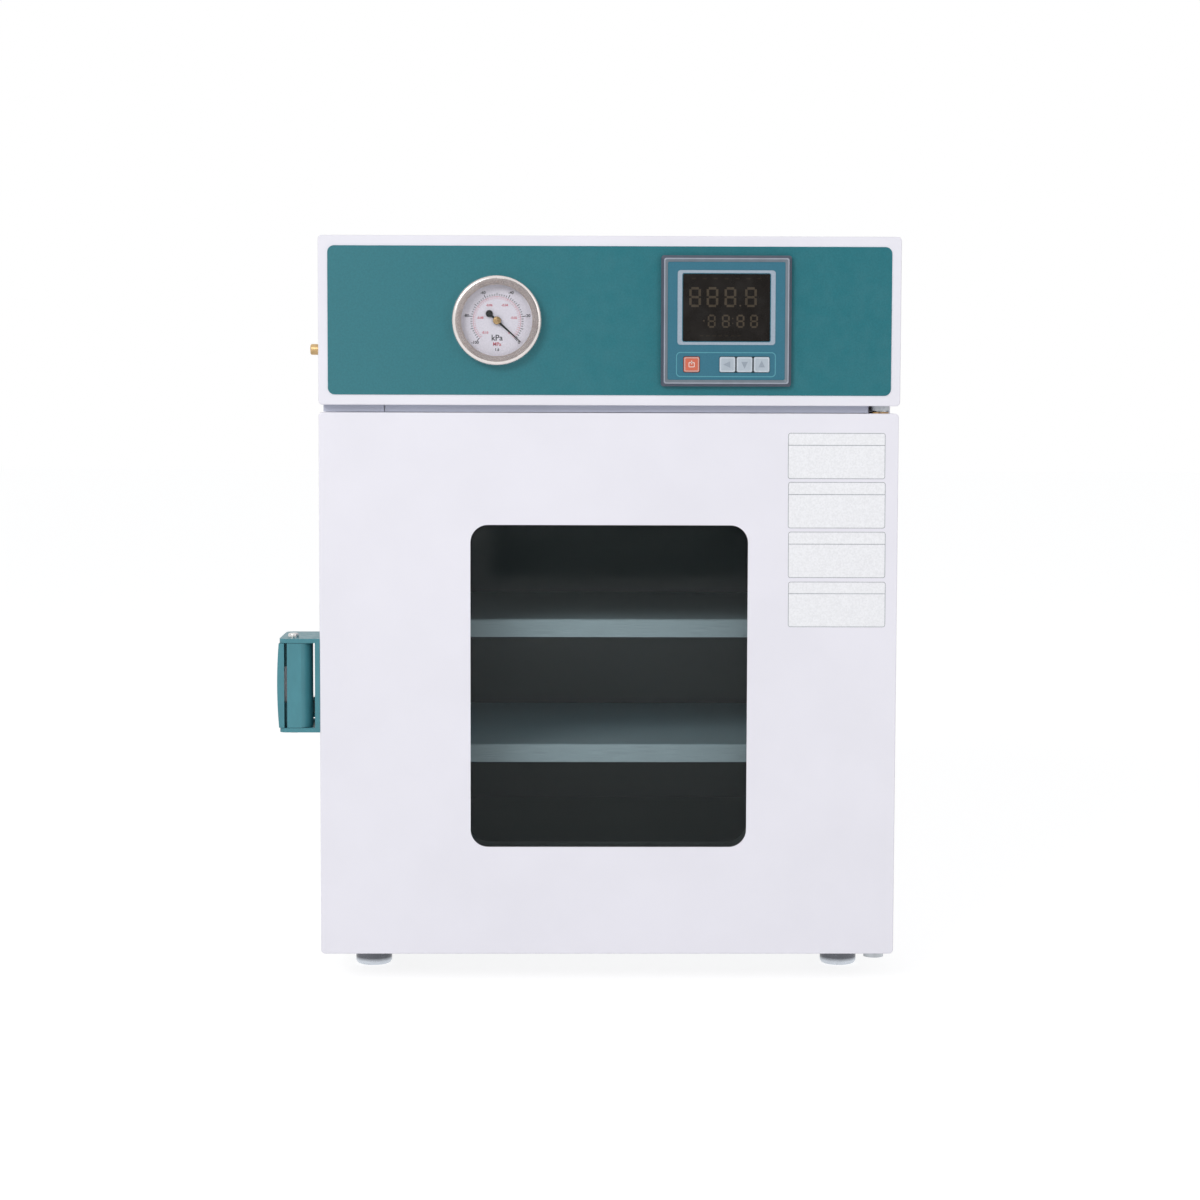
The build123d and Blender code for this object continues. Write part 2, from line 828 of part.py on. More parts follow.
def hinge_pins():
    """The two pins that the door turns on."""
    upper = rod_z(hinge_pin_radius, hinge_x, hinge_y, housing_bottom - hinge_pin_length, housing_bottom)
    bottom = base_z - bracket_thickness
    lower = rod_z(hinge_pin_radius, hinge_x, hinge_y, bottom, bottom + hinge_pin_length)
    upper = chamfer(upper.edges().group_by(Axis.Z)[0], hinge_pin_chamfer)
    lower = chamfer(lower.edges().group_by(Axis.Z)[-1], hinge_pin_chamfer)
    return [upper, lower]


def hinge_bushes():
    """Flanged bronze bushes in the door's top and bottom."""
    bushes = []
    lower_flange = door_lift / 2
    upper_flange = (door_gap - bracket_thickness) / 2
    for z0, z1, f0, f1 in (
        (door_bottom, door_bottom + bush_length, door_bottom - lower_flange, door_bottom),
        (door_top - bush_length, door_top, door_top, door_top + upper_flange),
    ):
        bush = rod_z(bush_radius, hinge_x, hinge_y, z0, z1)
        bush += rod_z(bush_flange_radius, hinge_x, hinge_y, f0, f1)
        bushes.append(bush - rod_z(hinge_pin_radius + running, hinge_x, hinge_y, z0 - 3, z1 + 3))
    return bushes


# Latch
def latch_base_screws():
    """The latch base's screws, as Y and Z."""
    middle = (latch_bottom + latch_top) / 2
    return [(latch_back - 14, middle - 20), (latch_back - 14, middle + 20), (latch_pin_y + 12, middle)]


def bowed_edge(end_x):
    """A line from the latch's bottom to its top that bows outwards by latch_bow."""
    middle = (latch_bottom + latch_top) / 2
    return ThreePointArc((end_x, latch_bottom), (end_x - latch_bow, middle), (end_x, latch_top))


def latch_base():
    """Fixed part of the latch: a flange on the door's side with a plate above and below."""
    end_x = -half_width - latch_out + latch_bow
    z0, z1 = latch_bottom, latch_top
    flange_x = -half_width - latch_base_thickness
    base = block(flange_x, -half_width, front_y, latch_back, z0, z1)
    base += block(end_x, -half_width, front_y, latch_back, z0, z0 + latch_plate)
    base += block(end_x, -half_width, front_y, latch_back, z1 - latch_plate, z1)
    corners = base.edges().filter_by(Axis.Z).group_by(Axis.X)[0]
    base = fillet(corners, latch_wall)
    base -= rod_z(latch_pin_radius + fit, latch_pin_x, latch_pin_y, z0 - 1, z1 + 1)
    for y, z in latch_base_screws():
        base -= rod_x(screw_hole, flange_x - 1, -half_width + 1, y, z)
    return base


def latch_pin():
    """Headed pin through the latch base, which the lever turns on."""
    pin = rod_z(latch_pin_radius, latch_pin_x, latch_pin_y, latch_bottom - 1.5, latch_top)
    head = rod_z(latch_pin_head, latch_pin_x, latch_pin_y, latch_top, latch_top + latch_plate)
    head = fillet(head.edges().group_by(Axis.Z)[-1], 1.2)
    return pin + head


def lever_wall():
    """The lever's bowed outer wall."""
    end_x = -half_width - latch_out + latch_bow
    outline = Polyline((end_x, latch_bottom), (lever_inside, latch_bottom),
                       (lever_inside, latch_top), (end_x, latch_top))
    face = make_face(outline.edges() + bowed_edge(end_x).edges())
    wall = seen_from_front(face, front_y, latch_back)
    reach = latch_out + latch_wall
    return wall & block(-half_width - reach, -half_width, front_y, latch_back, lever_bottom, lever_top)


def lever_front():
    """The lever's front panel: flat beside the slot, round at its free side."""
    radius = latch_barrel_radius
    outline = Circle(radius) - Circle(radius - latch_barrel_wall)
    flat = Rectangle(2 * radius, latch_barrel_wall)
    outline += Pos(0, latch_barrel_wall / 2 - latch_pin_setback) * flat
    left = lever_inside + latch_slot - latch_pin_x
    width = radius - left
    kept = Pos(left + width / 2, -latch_pin_setback / 2) * Rectangle(width, latch_pin_setback)
    outline = outline & kept & Circle(radius)
    return seen_from_above(Pos(latch_pin_x, latch_pin_y) * outline, lever_bottom, lever_top)


def lever_knuckle():
    """A knuckle on the pin with a web to the wall and a spoke to the front panel, seen from above."""
    web_x0 = lever_inside - 1
    web = Rectangle(latch_pin_x - web_x0, 2 * latch_boss_radius - 3)
    spoke_depth = latch_pin_setback - latch_barrel_wall
    spoke = Rectangle(latch_boss_radius - 1.5, spoke_depth)
    outline = Pos(latch_pin_x, latch_pin_y) * Circle(latch_boss_radius)
    outline += Pos((web_x0 + latch_pin_x) / 2, latch_pin_y) * web
    outline += Pos(latch_pin_x + 2, latch_pin_y - spoke_depth / 2 - 1) * spoke
    return outline


def latch_lever():
    """Moving handle: bowed wall, round front panel, two knuckles on the pin and the claw's lug."""
    lever = lever_wall()
    for z0 in (lever_bottom, lever_top - latch_boss_height):
        lever += seen_from_above(lever_knuckle(), z0, z0 + latch_boss_height)
    lever += lever_front()
    lever += block(lever_inside - 1, lug_side, lug_front, lug_back, lever_bottom, claw_bottom)
    lever -= rod_z(latch_pin_radius + running, latch_pin_x, latch_pin_y, latch_bottom, latch_top)
    for x, y in claw_screw_places():
        lever -= rod_z(screw_hole, x, y, lever_bottom - 1, claw_bottom + 1)
    return lever


def claw_screw_places():
    """The two screws that hold the claw on the lever's lug, as X and Y."""
    return [(latch_pin_x, lug_front + claw_screw_inset), (latch_pin_x, lug_back - claw_screw_inset)]


def latch_claw():
    """Flat steel hook that reaches past the door and catches behind the strike's roller."""
    arm_inside = roller_x - roller_radius - claw_arm_play
    hook_front = roller_y + roller_radius + claw_play
    hook_back = hook_front + claw_hook
    hook_tip = roller_x + roller_radius / 2
    outside = lever_inside + fit
    points = [
        (outside, lug_front),
        (lug_side, lug_front),
        (lug_side, lug_back),
        (arm_inside, latch_back + claw_screw_inset),
        (arm_inside, hook_front),
        (hook_tip, hook_front),
        (hook_tip, hook_back),
        (outside, hook_back),
    ]
    profile = make_face(Polyline(*points, close=True))
    claw = seen_from_above(profile, claw_bottom, claw_top)
    outer = claw.edges().filter_by(Axis.Z).sort_by(Axis.Y)[-2:]
    claw = fillet(outer, claw_thickness / 2)
    for x, y in claw_screw_places():
        claw -= rod_z(screw_hole, x, y, claw_bottom - 1, claw_top + 1)
    return claw


def latch_spring():
    """Coil spring round the latch pin, between the lever's knuckles."""
    radius = latch_pin_radius + 2 * spring_wire
    z0 = lever_bottom + latch_boss_height + spring_wire + loose
    height = lever_top - latch_boss_height - spring_wire - loose - z0
    helix = Helix(pitch=height / spring_turns, height=height, radius=radius)
    path = Pos(latch_pin_x, latch_pin_y, z0) * helix
    section = Plane(origin=path @ 0, z_dir=path % 0)
    return sweep(section * RegularPolygon(spring_wire, 8), path=path, is_frenet=True)


def strike_outline():
    """One ear of the strike bracket, seen from above."""
    ear = Pos(roller_x, roller_y) * Circle(roller_radius + 1)
    web = Polyline(
        (roller_x - 1, roller_y + roller_radius + 0.5),
        (roller_x + 3, roller_y - roller_radius),
        (-half_width, strike_front),
        (-half_width, strike_front + strike_length / 2),
        close=True,
    )
    return ear + make_face(web)


def strike_bracket():
    """Steel bracket on the cabinet's side with the roller's rivet between its ears."""
    y0 = strike_front
    middle = (claw_bottom + claw_top) / 2
    gap = roller_height / 2 + roller_end_play
    low = middle - gap - strike_ear
    high = middle + gap + strike_ear
    plate_x = -half_width - strike_sheet
    tab = strike_tab
    part = block(plate_x, -half_width, y0, y0 + strike_length, low - tab, high + tab)
    part += seen_from_above(strike_outline(), low, middle - gap)
    part += seen_from_above(strike_outline(), middle + gap, high)
    part += rod_z(rivet_radius, roller_x, roller_y, low, high)
    for y, z in strike_screws():
        part -= rod_x(screw_hole, -half_width - strike_sheet - 1, -half_width + 1, y, z)
    return part


def strike_screws():
    """The strike bracket's screws in the cabinet's side, as Y and Z."""
    middle = (claw_bottom + claw_top) / 2
    reach = roller_height / 2 + strike_ear + strike_tab / 2
    y = strike_front + strike_length / 2
    return [(y, middle - reach), (y, middle + reach)]


def strike_roller():
    """Roller that the claw pulls on."""
    middle = (claw_bottom + claw_top) / 2
    half = roller_height / 2
    roller = rod_z(roller_radius, roller_x, roller_y, middle - half, middle + half)
    hole = rod_z(rivet_radius + running, roller_x, roller_y, middle - 2 * half, middle + 2 * half)
    return roller - hole


# Controller
def controller_bezel():
    """Square frame round the controller's face."""
    outer = rounded(controller_x, panel_z, controller_size, controller_size, 2)
    inner_size = controller_size - 2 * controller_border
    inner = rounded(controller_x, panel_z, inner_size, inner_size, 1)
    bezel = seen_from_front(outer, bezel_front, overlay_front)
    bezel = fillet(bezel.edges().group_by(Axis.Y)[0], 1.0)
    return bezel - seen_from_front(inner, bezel_front - 1, overlay_front + 1)


def display_outline(margin):
    """The display window, grown by a margin."""
    z = panel_z + display_lift
    return rounded(controller_x, z, display_width + 2 * margin, display_height + 2 * margin, 1 + margin)


def key_slots():
    """The openings for the keys: one for the first key, one for the row of three."""
    z = panel_z - key_drop
    reach = key_width / 2 + loose
    height = key_height + 2 * loose
    places = sorted(key_places.values())
    first = controller_x + places[0]
    left = controller_x + places[1] - reach
    right = controller_x + places[-1] + reach
    slots = rounded(first, z, 2 * reach, height, 1.5)
    return slots + rounded((left + right) / 2, z, right - left, height, 1.5)


def controller_face():
    """Coloured face plate with openings for the display and the keys."""
    size = controller_size - 2 * controller_border - 2 * fit
    face = rounded(controller_x, panel_z, size, size, 1)
    face -= display_outline(fit)
    face -= key_slots()
    return seen_from_front(face, face_front, face_back)


def controller_display():
    """Dark display window."""
    return seen_from_front(display_outline(0), face_front - 0.2, face_back)


def controller_case():
    """Closed box behind the panel that holds the controller's electronics."""
    side = controller_body / 2
    x, z = controller_x, panel_z
    case = block(x - side, x + side, overlay_front, front_y + controller_body_depth, z - side, z + side)
    neck = controller_size / 2 - controller_border - loose
    case += block(x - neck, x + neck, face_back, overlay_front, z - neck, z + neck)
    rear = front_y + controller_body_depth
    for row in range(3):
        top = z + 28 - row * 28
        case += block(x - side + 8, x + side - 8, rear, rear + 8, top - 8, top)
    return case


def control_key(name):
    """One push key in the controller's face."""
    x = controller_x + key_places[name]
    front = face_front - key_proud
    outline = rounded(x, panel_z - key_drop, key_width, key_height, key_corner)
    key = seen_from_front(outline, front, front + key_thickness)
    return fillet(key.edges().group_by(Axis.Y)[0], key_edge)


# Gauge
def gauge_bezel():
    """Polished ring with a sloping inner wall, made by turning its section."""
    back = overlay_front
    front = overlay_front - gauge_proud
    outer = gauge_radius
    inner = gauge_sight_radius
    seat_back = lens_front + lens_thickness + bezel_lip
    start = (outer, front + bezel_round)
    end = (outer - bezel_round, front)
    bulge = bezel_round * (1 - math.sqrt(0.5))
    with BuildSketch(Plane.XY) as section:
        with BuildLine():
            Polyline((inner + bezel_step, back), (outer, back), start)
            ThreePointArc(start, (outer - bulge, front + bulge), end)
            Polyline(end, (inner, lens_front), (inner, seat_back))
            Polyline((inner, seat_back), (inner + bezel_step, seat_back), (inner + bezel_step, back))
        make_face()
    ring = revolve(section.sketch, axis=Axis.Y, revolution_arc=360)
    return Pos(gauge_x, 0, panel_z) * ring


def gauge_lens():
    """Clear window of the gauge."""
    radius = gauge_sight_radius - fit
    return rod_y(radius, gauge_x, lens_front, lens_front + lens_thickness, panel_z)


def gauge_case():
    """Steel cup behind the panel."""
    back = front_y + gauge_case_depth
    cup = rod_y(gauge_case_radius, gauge_x, overlay_front, back, panel_z)
    cup -= rod_y(gauge_case_radius - gauge_wall, gauge_x, overlay_front - 1, back - gauge_wall, panel_z)
    return cup - rod_y(stem_radius + fit, gauge_x, back - gauge_wall - 1, back + 1, panel_z)


def gauge_dial():
    """Dial plate with a hole for the spindle."""
    radius = gauge_case_radius - gauge_wall - fit
    back = dial_front + dial_thickness
    dial = rod_y(radius, gauge_x, dial_front, back, panel_z)
    return dial - rod_y(spindle_radius + loose, gauge_x, dial_front - 1, back + 1, panel_z)


def gauge_stem():
    """Brass movement block behind the dial, and the threaded stem at the gauge's back."""
    back = front_y + gauge_case_depth
    stem = rod_y(stem_radius, gauge_x, dial_front + dial_thickness, back + stem_length, panel_z)
    hexagon = Pos(gauge_x, panel_z) * RegularPolygon(radius=stem_hexagon, side_count=6)
    stem += seen_from_front(hexagon, back, back + stem_length / 2)
    spindle_end = dial_front + dial_thickness + spindle_depth + 1
    return stem - rod_y(spindle_radius + running, gauge_x, dial_front, spindle_end, panel_z)


def gauge_pointer():
    """Pointer with a tapered needle, a counterweight and its spindle."""
    root = needle_width / 2
    tip = needle_tip / 2
    needle = Polyline((0, -root), (pointer_length, -tip), (pointer_length, tip), (0, root), close=True)
    tail = Pos(-pointer_tail / 2, 0) * Rectangle(pointer_tail, tail_width)
    shape = make_face(needle) + tail
    shape += Pos(-pointer_tail, 0) * Circle(tail_disc)
    shape += Circle(hub_radius - 0.8)
    shape = Pos(gauge_x, panel_z) * Rot(0, 0, pointer_angle) * shape
    front = dial_front - needle_lift
    pointer = seen_from_front(shape, front, front + needle_sheet)
    pointer += rod_y(hub_radius, gauge_x, front - 2 * needle_sheet, front, panel_z)
    return pointer + rod_y(spindle_radius, gauge_x, front, dial_front + dial_thickness + spindle_depth, panel_z)


# Vacuum line
def manifold_box():
    """Corners of the manifold block: X, Y and Z pairs."""
    x0 = -shell_inside + loose
    half_y = manifold_width / 2
    half_z = manifold_height / 2
    return (
        x0, x0 + manifold_width,
        nozzle_y - half_y, nozzle_y + half_y,
        nozzle_height - half_z, nozzle_height + half_z,
    )


def vacuum_manifold():
    """Brass block that joins the chamber line, gauge line, vent line and hose nozzle."""
    x0 = manifold_box()[0]
    body = chamfer(block(*manifold_box()).edges().filter_by(Axis.Y), 2)
    return body - rod_x(nozzle_radius + fit, x0 - 1, x0 + nozzle_seat + 1, nozzle_y, nozzle_height)


def hose_nozzle():
    """Brass hose nozzle on the cabinet's left side."""
    x0 = -half_width
    seat = manifold_box()[0] + nozzle_seat
    tip = x0 - nozzle_hexagon_length - nozzle_length
    hexagon = Pos(nozzle_y, nozzle_height) * RegularPolygon(radius=nozzle_hexagon, side_count=6)
    nozzle = seen_from_side(hexagon, x0 - nozzle_hexagon_length, x0)
    spigot = rod_x(nozzle_radius, tip, x0 - nozzle_hexagon_length, nozzle_y, nozzle_height)
    nozzle += chamfer(spigot.edges().group_by(Axis.X)[0], 0.8)
    nozzle += rod_x(nozzle_radius, x0, seat, nozzle_y, nozzle_height)
    return nozzle - rod_x(nozzle_bore, tip - 1, seat + 1, nozzle_y, nozzle_height)


def valve_box():
    """Corners of the vent valve's body inside the cabinet."""
    x1 = shell_inside
    half = valve_size / 2
    return (
        x1 - valve_length, x1,
        valve_y - half, valve_y + half,
        nozzle_height - half, nozzle_height + half,
    )


def vent_valve_body():
    """Brass vent valve with a round boss through the cabinet's right side."""
    boss_end = half_width + valve_boss_length
    body = block(*valve_box())
    body += rod_x(valve_boss_radius, shell_inside, boss_end, valve_y, nozzle_height)
    bore_end = shell_inside - valve_stem_depth - 2
    return body - rod_x(valve_stem_radius + running, bore_end, boss_end + 1, valve_y, nozzle_height)


def vent_valve_knob():
    """Fluted knob on the valve's stem."""
    x0 = half_width + valve_boss_length + knob_gap
    outline = Pos(valve_y, nozzle_height) * Circle(knob_radius)
    for i in range(knob_flutes):
        turn = 360 / knob_flutes * i
        flute = Pos(valve_y, nozzle_height) * Rot(0, 0, turn) * Pos(knob_radius + flute_radius / 2, 0)
        outline -= flute * Circle(flute_radius)
    knob = seen_from_side(outline, x0, x0 + knob_length)
    return knob + rod_x(valve_stem_radius, shell_inside - valve_stem_depth, x0, valve_y, nozzle_height)


def vacuum_tubes():
    """Copper tubes: chamber to manifold, manifold to gauge and manifold to vent valve."""
    x0, x1, y0, y1, z0, z1 = manifold_box()
    third = manifold_width / 3
    stub_end = chamber_back + chamber_wall + port_length
    chamber_line = tube_along([
        (port_x, stub_end, port_z),
        (port_x, riser_y(), port_z),
        (port_x, riser_y(), nozzle_height),
        (port_x, nozzle_y, nozzle_height),
        (x1, nozzle_y, nozzle_height),
    ], tube_bend, tube_radius, tube_radius - tube_wall)
    gauge_back = front_y + gauge_case_depth + stem_length
    turn_y = y0 - manifold_width * 2
    gauge_line = tube_along([
        (x0 + third, y0, nozzle_height),
        (x0 + third, turn_y, nozzle_height),
        (gauge_x, turn_y, panel_z),
        (gauge_x, gauge_back, panel_z),
    ], tube_bend, thin_tube_radius, thin_tube_radius - tube_wall)
    valve_x = (valve_box()[0] + shell_inside) / 2 - 3
    crossing = nozzle_height + vent_line_lift
    vent_line = tube_along([
        (x0 + 2 * third, nozzle_y, z1),
        (x0 + 2 * third, nozzle_y, crossing),
        (valve_x, nozzle_y, crossing),
        (valve_x, valve_y, crossing),
        (valve_x, valve_y, valve_box()[5]),
    ], tube_bend, thin_tube_radius, thin_tube_radius - tube_wall)
    return [chamber_line, gauge_line, vent_line]


def riser_y():
    """How far back the chamber line rises to the manifold's height."""
    return chamber_back + chamber_wall + port_length + riser_reach


# Electrical parts
def relay_heat_sink():
    """Finned aluminium block on the electronics tray."""
    x, y, z = sink_x, front_y + sink_setback, tray_top
    sink = block(x, x + sink_width, y, y + sink_depth, z, z + sink_base)
    pitch = (sink_width - fin_thickness) / (fin_count - 1)
    for i in range(fin_count):
        left = x + i * pitch
        sink += block(left, left + fin_thickness, y, y + sink_depth, z + sink_base, z + sink_height)
    return sink


def solid_state_relay():
    """Relay block that switches the heaters, beside its heat sink."""
    x = sink_x + sink_width + relay_gap
    y = front_y + sink_setback
    relay = block(x, x + relay_width, y, y + relay_depth, tray_top, tray_top + relay_height)
    return chamfer(relay.edges().filter_by(Axis.Z), 3)


def power_inlet():
    """Mains inlet with a flange, an open socket and three pins."""
    x, z = inlet_x, inlet_z
    outside = back_y + inlet_flange_thickness
    floor = outside - socket_depth
    flange = rounded(x, z, inlet_flange_width, inlet_flange_height, 4)
    body = seen_from_front(flange, back_y, outside)
    barrel = rounded(x, z, inlet_width, inlet_height, 2)
    body += seen_from_front(barrel, back_y - inlet_body_depth, back_y)
    mouth = rounded(x, z, socket_width, socket_height, 2)
    body -= seen_from_front(mouth, floor, outside + 1)
    solids = [body]
    for dx, dz in ((-inlet_pin_pitch, -1), (0, 1), (inlet_pin_pitch, -1)):
        side = inlet_pin_width / 2
        rise = inlet_pin_height / 2
        x0, z0 = x + dx, z + dz
        solids.append(block(x0 - side, x0 + side, floor, floor + inlet_pin_length, z0 - rise, z0 + rise))
    return solids


# Feet
def foot_places():
    """The four feet, as X and Y."""
    return [(x, y) for x in (-foot_x, foot_x) for y in (front_y + foot_inset, back_y - foot_rear_inset)]


def turned_foot():
    """One foot, made by turning its section about Z, with a stud through the base pan."""
    r = foot_radius
    with BuildSketch(Plane.XZ) as section:
        with BuildLine():
            Polyline((0, pad_height), (pad_radius, pad_height))
            ThreePointArc((pad_radius, pad_height), (r - 1.1, pad_height + 2.4), (r, pad_height + 6))
            Polyline((r, pad_height + 6), (r, foot_height - 3), (r - 2, foot_height),
                     (foot_stud_radius, foot_height), (foot_stud_radius, foot_height + foot_stud_length),
                     (0, foot_height + foot_stud_length), (0, pad_height))
        make_face()
    return revolve(section.sketch, axis=Axis.Z, revolution_arc=360)


def feet():
    """Four plated feet."""
    return [Pos(x, y, 0) * turned_foot() for x, y in foot_places()]


def foot_pads():
    """Rubber pads under the feet."""
    return [rod_z(pad_radius - 0.5, x, y, 0, pad_height) for x, y in foot_places()]


# Screws
def screw(length):
    """A pan-head screw along +Z with its head's underside at Z = 0."""
    head = Pos(0, 0, screw_head_height / 2) * Cylinder(screw_head_radius, screw_head_height)
    head = fillet(head.edges().group_by(Axis.Z)[-1], screw_head_height * 0.6)
    return head + Pos(0, 0, -length / 2) * Cylinder(screw_radius, length)


def rear_screws():
    """The rear panel's screws, as X and Z."""
    side = shell_inside - rear_screw_inset
    low = base_z + 2 * rear_screw_inset
    high = top_z - rear_screw_inset
    middle = (low + high) / 2
    return [(x, z) for x in (-side, side) for z in (low, middle, high)]


def cabinet_screws():
    """Screws of the rear panel, the hinge brackets and the strike bracket."""
    screws = []
    for x, z in rear_screws():
        screws.append(Pos(x, back_y, z) * Rot(-90, 0, 0) * screw(screw_length))
    x = bracket_tail_x()
    for y in upper_bracket_screws():
        z = housing_bottom - bracket_thickness
        screws.append(Pos(x, y, z) * Rot(180, 0, 0) * screw(screw_length))
    for y in lower_bracket_screws():
        z = base_z - bracket_thickness
        screws.append(Pos(x, y, z) * Rot(180, 0, 0) * screw(screw_length))
    for y, z in strike_screws():
        screws.append(Pos(-half_width - strike_sheet, y, z) * Rot(0, -90, 0) * screw(screw_length))
    return screws


def door_screws():
    """Screws of the door's inner panel, the glass clamps and the latch base."""
    screws = []
    for x, z in door_panel_screws():
        screws.append(Pos(x, door_back, z) * Rot(-90, 0, 0) * screw(screw_length - 2))
    for x, z in clamp_screws():
        screws.append(Pos(x, door_back + clamp_thickness, z) * Rot(-90, 0, 0) * screw(screw_length - 2))
    for y, z in latch_base_screws():
        screws.append(Pos(-half_width - latch_base_thickness, y, z) * Rot(0, -90, 0) * screw(screw_length + 1))
    return screws


def claw_screws():
    """Screws that hold the claw on the lever."""
    return [Pos(x, y, claw_top) * screw(screw_length - 1) for x, y in claw_screw_places()]


pieces = {
    "outer_shell": outer_shell,
    "control_housing": control_housing,
    "control_overlay": control_overlay,
    "base_pan": base_pan,
    "front_frame": front_frame,
    "rear_panel": rear_panel,
    "electronics_tray": electronics_tray,
    "vacuum_chamber": vacuum_chamber,
    "door_gasket": door_gasket,
    "chamber_supports": chamber_supports,
    "chamber_insulation": chamber_insulation,
    "heater_pads": heater_pads,
    "temperature_probe": temperature_probe,
    "shelf_rails": shelf_rails,
    "door_shell": door_shell,
    "door_inner_panel": door_inner_panel,
    "door_insulation": door_insulation,
    "window_pane": window_pane,
    "window_liner": window_liner,
    "chamber_glass": chamber_glass,
    "glass_clamps": glass_clamps,
    "hinge_brackets": hinge_brackets,
    "hinge_pins": hinge_pins,
    "hinge_bushes": hinge_bushes,
    "latch_base": latch_base,
    "latch_pin": latch_pin,
    "latch_lever": latch_lever,
    "latch_claw": latch_claw,
    "latch_spring": latch_spring,
    "claw_screws": claw_screws,
    "strike_bracket": strike_bracket,
    "strike_roller": strike_roller,
    "controller_bezel": controller_bezel,
    "controller_face": controller_face,
    "controller_display": controller_display,
    "controller_case": controller_case,
    "gauge_bezel": gauge_bezel,
    "gauge_lens": gauge_lens,
    "gauge_case": gauge_case,
    "gauge_dial": gauge_dial,
    "gauge_stem": gauge_stem,
    "gauge_pointer": gauge_pointer,
    "vacuum_manifold": vacuum_manifold,
    "hose_nozzle": hose_nozzle,
    "vacuum_tubes": vacuum_tubes,
    "vent_valve_body": vent_valve_body,
    "vent_valve_knob": vent_valve_knob,
    "relay_heat_sink": relay_heat_sink,
    "solid_state_relay": solid_state_relay,
    "power_inlet": power_inlet,
    "feet": feet,
    "foot_pads": foot_pads,
    "cabinet_screws": cabinet_screws,
    "door_screws": door_screws,
}

os.makedirs("parts", exist_ok=True)


def write(name, made):
    """Write one named piece, or a group of separate solids, as a STEP file."""
    solids = made if isinstance(made, list) else [made]
    flat = [solid for item in solids for solid in item.solids()]
    shape = flat[0] if len(flat) == 1 else Compound(children=flat)
    shape.label = name
    export_step(shape, f"parts/{name}.step")


for name, make in pieces.items():
    write(name, make())
for name in shelf_heights:
    write(name, shelf(name))
for name in key_places:
    write(name, control_key(name))
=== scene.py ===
import bpy
import bmesh
import json
import math
from mathutils import Matrix, Vector


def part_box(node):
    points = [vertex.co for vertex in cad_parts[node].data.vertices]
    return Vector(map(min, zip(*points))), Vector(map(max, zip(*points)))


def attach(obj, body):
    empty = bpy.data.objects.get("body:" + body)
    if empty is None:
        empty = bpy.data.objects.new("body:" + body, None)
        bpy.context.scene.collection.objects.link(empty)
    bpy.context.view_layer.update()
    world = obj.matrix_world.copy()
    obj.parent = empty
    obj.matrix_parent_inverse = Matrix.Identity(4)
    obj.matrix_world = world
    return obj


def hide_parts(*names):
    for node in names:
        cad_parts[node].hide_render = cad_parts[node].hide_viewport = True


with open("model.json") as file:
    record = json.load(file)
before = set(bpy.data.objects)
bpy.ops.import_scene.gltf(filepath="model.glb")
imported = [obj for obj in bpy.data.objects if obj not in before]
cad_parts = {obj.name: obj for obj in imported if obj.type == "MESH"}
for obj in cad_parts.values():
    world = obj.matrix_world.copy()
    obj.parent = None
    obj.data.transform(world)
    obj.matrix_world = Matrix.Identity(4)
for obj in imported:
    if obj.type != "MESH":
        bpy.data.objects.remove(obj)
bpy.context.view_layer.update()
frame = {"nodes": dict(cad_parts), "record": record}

# Metres, in the model's own frame. Drawn details are given in millimetres and scaled by mm.
mm = 0.001

# Heights and depths of the surfaces that carry printed or stuck-on details
door_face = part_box("door_shell")[0].y / mm
film_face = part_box("control_overlay")[0].y / mm
plate_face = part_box("controller_face")[0].y / mm
display_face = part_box("controller_display")[0].y / mm
dial_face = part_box("gauge_dial")[0].y / mm
key_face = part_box("power_key")[0].y / mm
print_thickness = 0.06
print_weight = 0.07


# Camera: degrees, metres, and its lens for a 36 mm sensor
camera_pitch = 4.492
camera_yaw = 0.789
camera_roll = 0.160
camera_lens = 83.05
camera_place = (-0.035, -2.270, 0.4514)

# Studio, in metres and watts
surround_level = 0.5
floor_size = 24
floor_drop = 0.0004
floor_glow = 1.26
floor_glow_share = 0.66
dark_card = {"place": (2.3, -4.6, 0.9), "facing": (0, 1, 0), "level": 0.05}
lamp_aim = (0, -0.2, 0.3)
lamps = {
    "key": {"place": (-1.5, -2.9, 1.9), "width": 1.6, "height": 1.2, "power": 44},
    "fill": {"place": (1.6, -2.6, 1.0), "width": 1.4, "height": 1.4, "power": 11},
}

# Gauge dial: distances from its centre, and its scale's angles in degrees
scale_start = 225.0
scale_sweep = -270.0
divisions = 50
number_count = 6
black_ring = 18.2
black_number_ring = 22.9
red_arc = 17.6
red_ring = 15.9
red_number_ring = 12.6
black_unit_drop = 12.8
red_unit_drop = 17.4
class_drop = 21.4
hub_profile = ((3.0, 0.0), (3.0, -0.5), (2.7, -0.8), (1.4, -0.95), (1.2, -0.75), (0.4, -0.8))
hub_steps = 32

# Display: places from its middle. A dot has a place and a size.
# A row of marks has a start, a height, a pitch, a length and a width.
big_digits = (-27.5, -14.7, -1.5, 13.6)
big_digit_rise = 0.35
small_digits = (-13.8, -3.4, 7.4, 17.4)
small_digit_rise = -14.75
dots = ((10.1, 1.45, 1.4), (4.6, -7.95, 0.8), (4.6, -11.55, 0.8), (-16.6, -9.65, 1.3))
mark_rows = ((-25.6, 21.25, 8.0, 3.0, 1.1), (-19.6, -20.65, 4.6, 2.6, 0.8))
mark_count = 7

# Controller's frame and face
frame_border = 4.8
frame_chamfer = 2.0
frame_ridge = 0.8
frame_slope = 1.2
border_side = 7.9
border_edge = 5.3
border_inside = 1.3
border_rise = 0.35
key_line_shift = 0.2
key_line_drop = 0.05
key_line_width = 73.4
key_line_height = 18.2

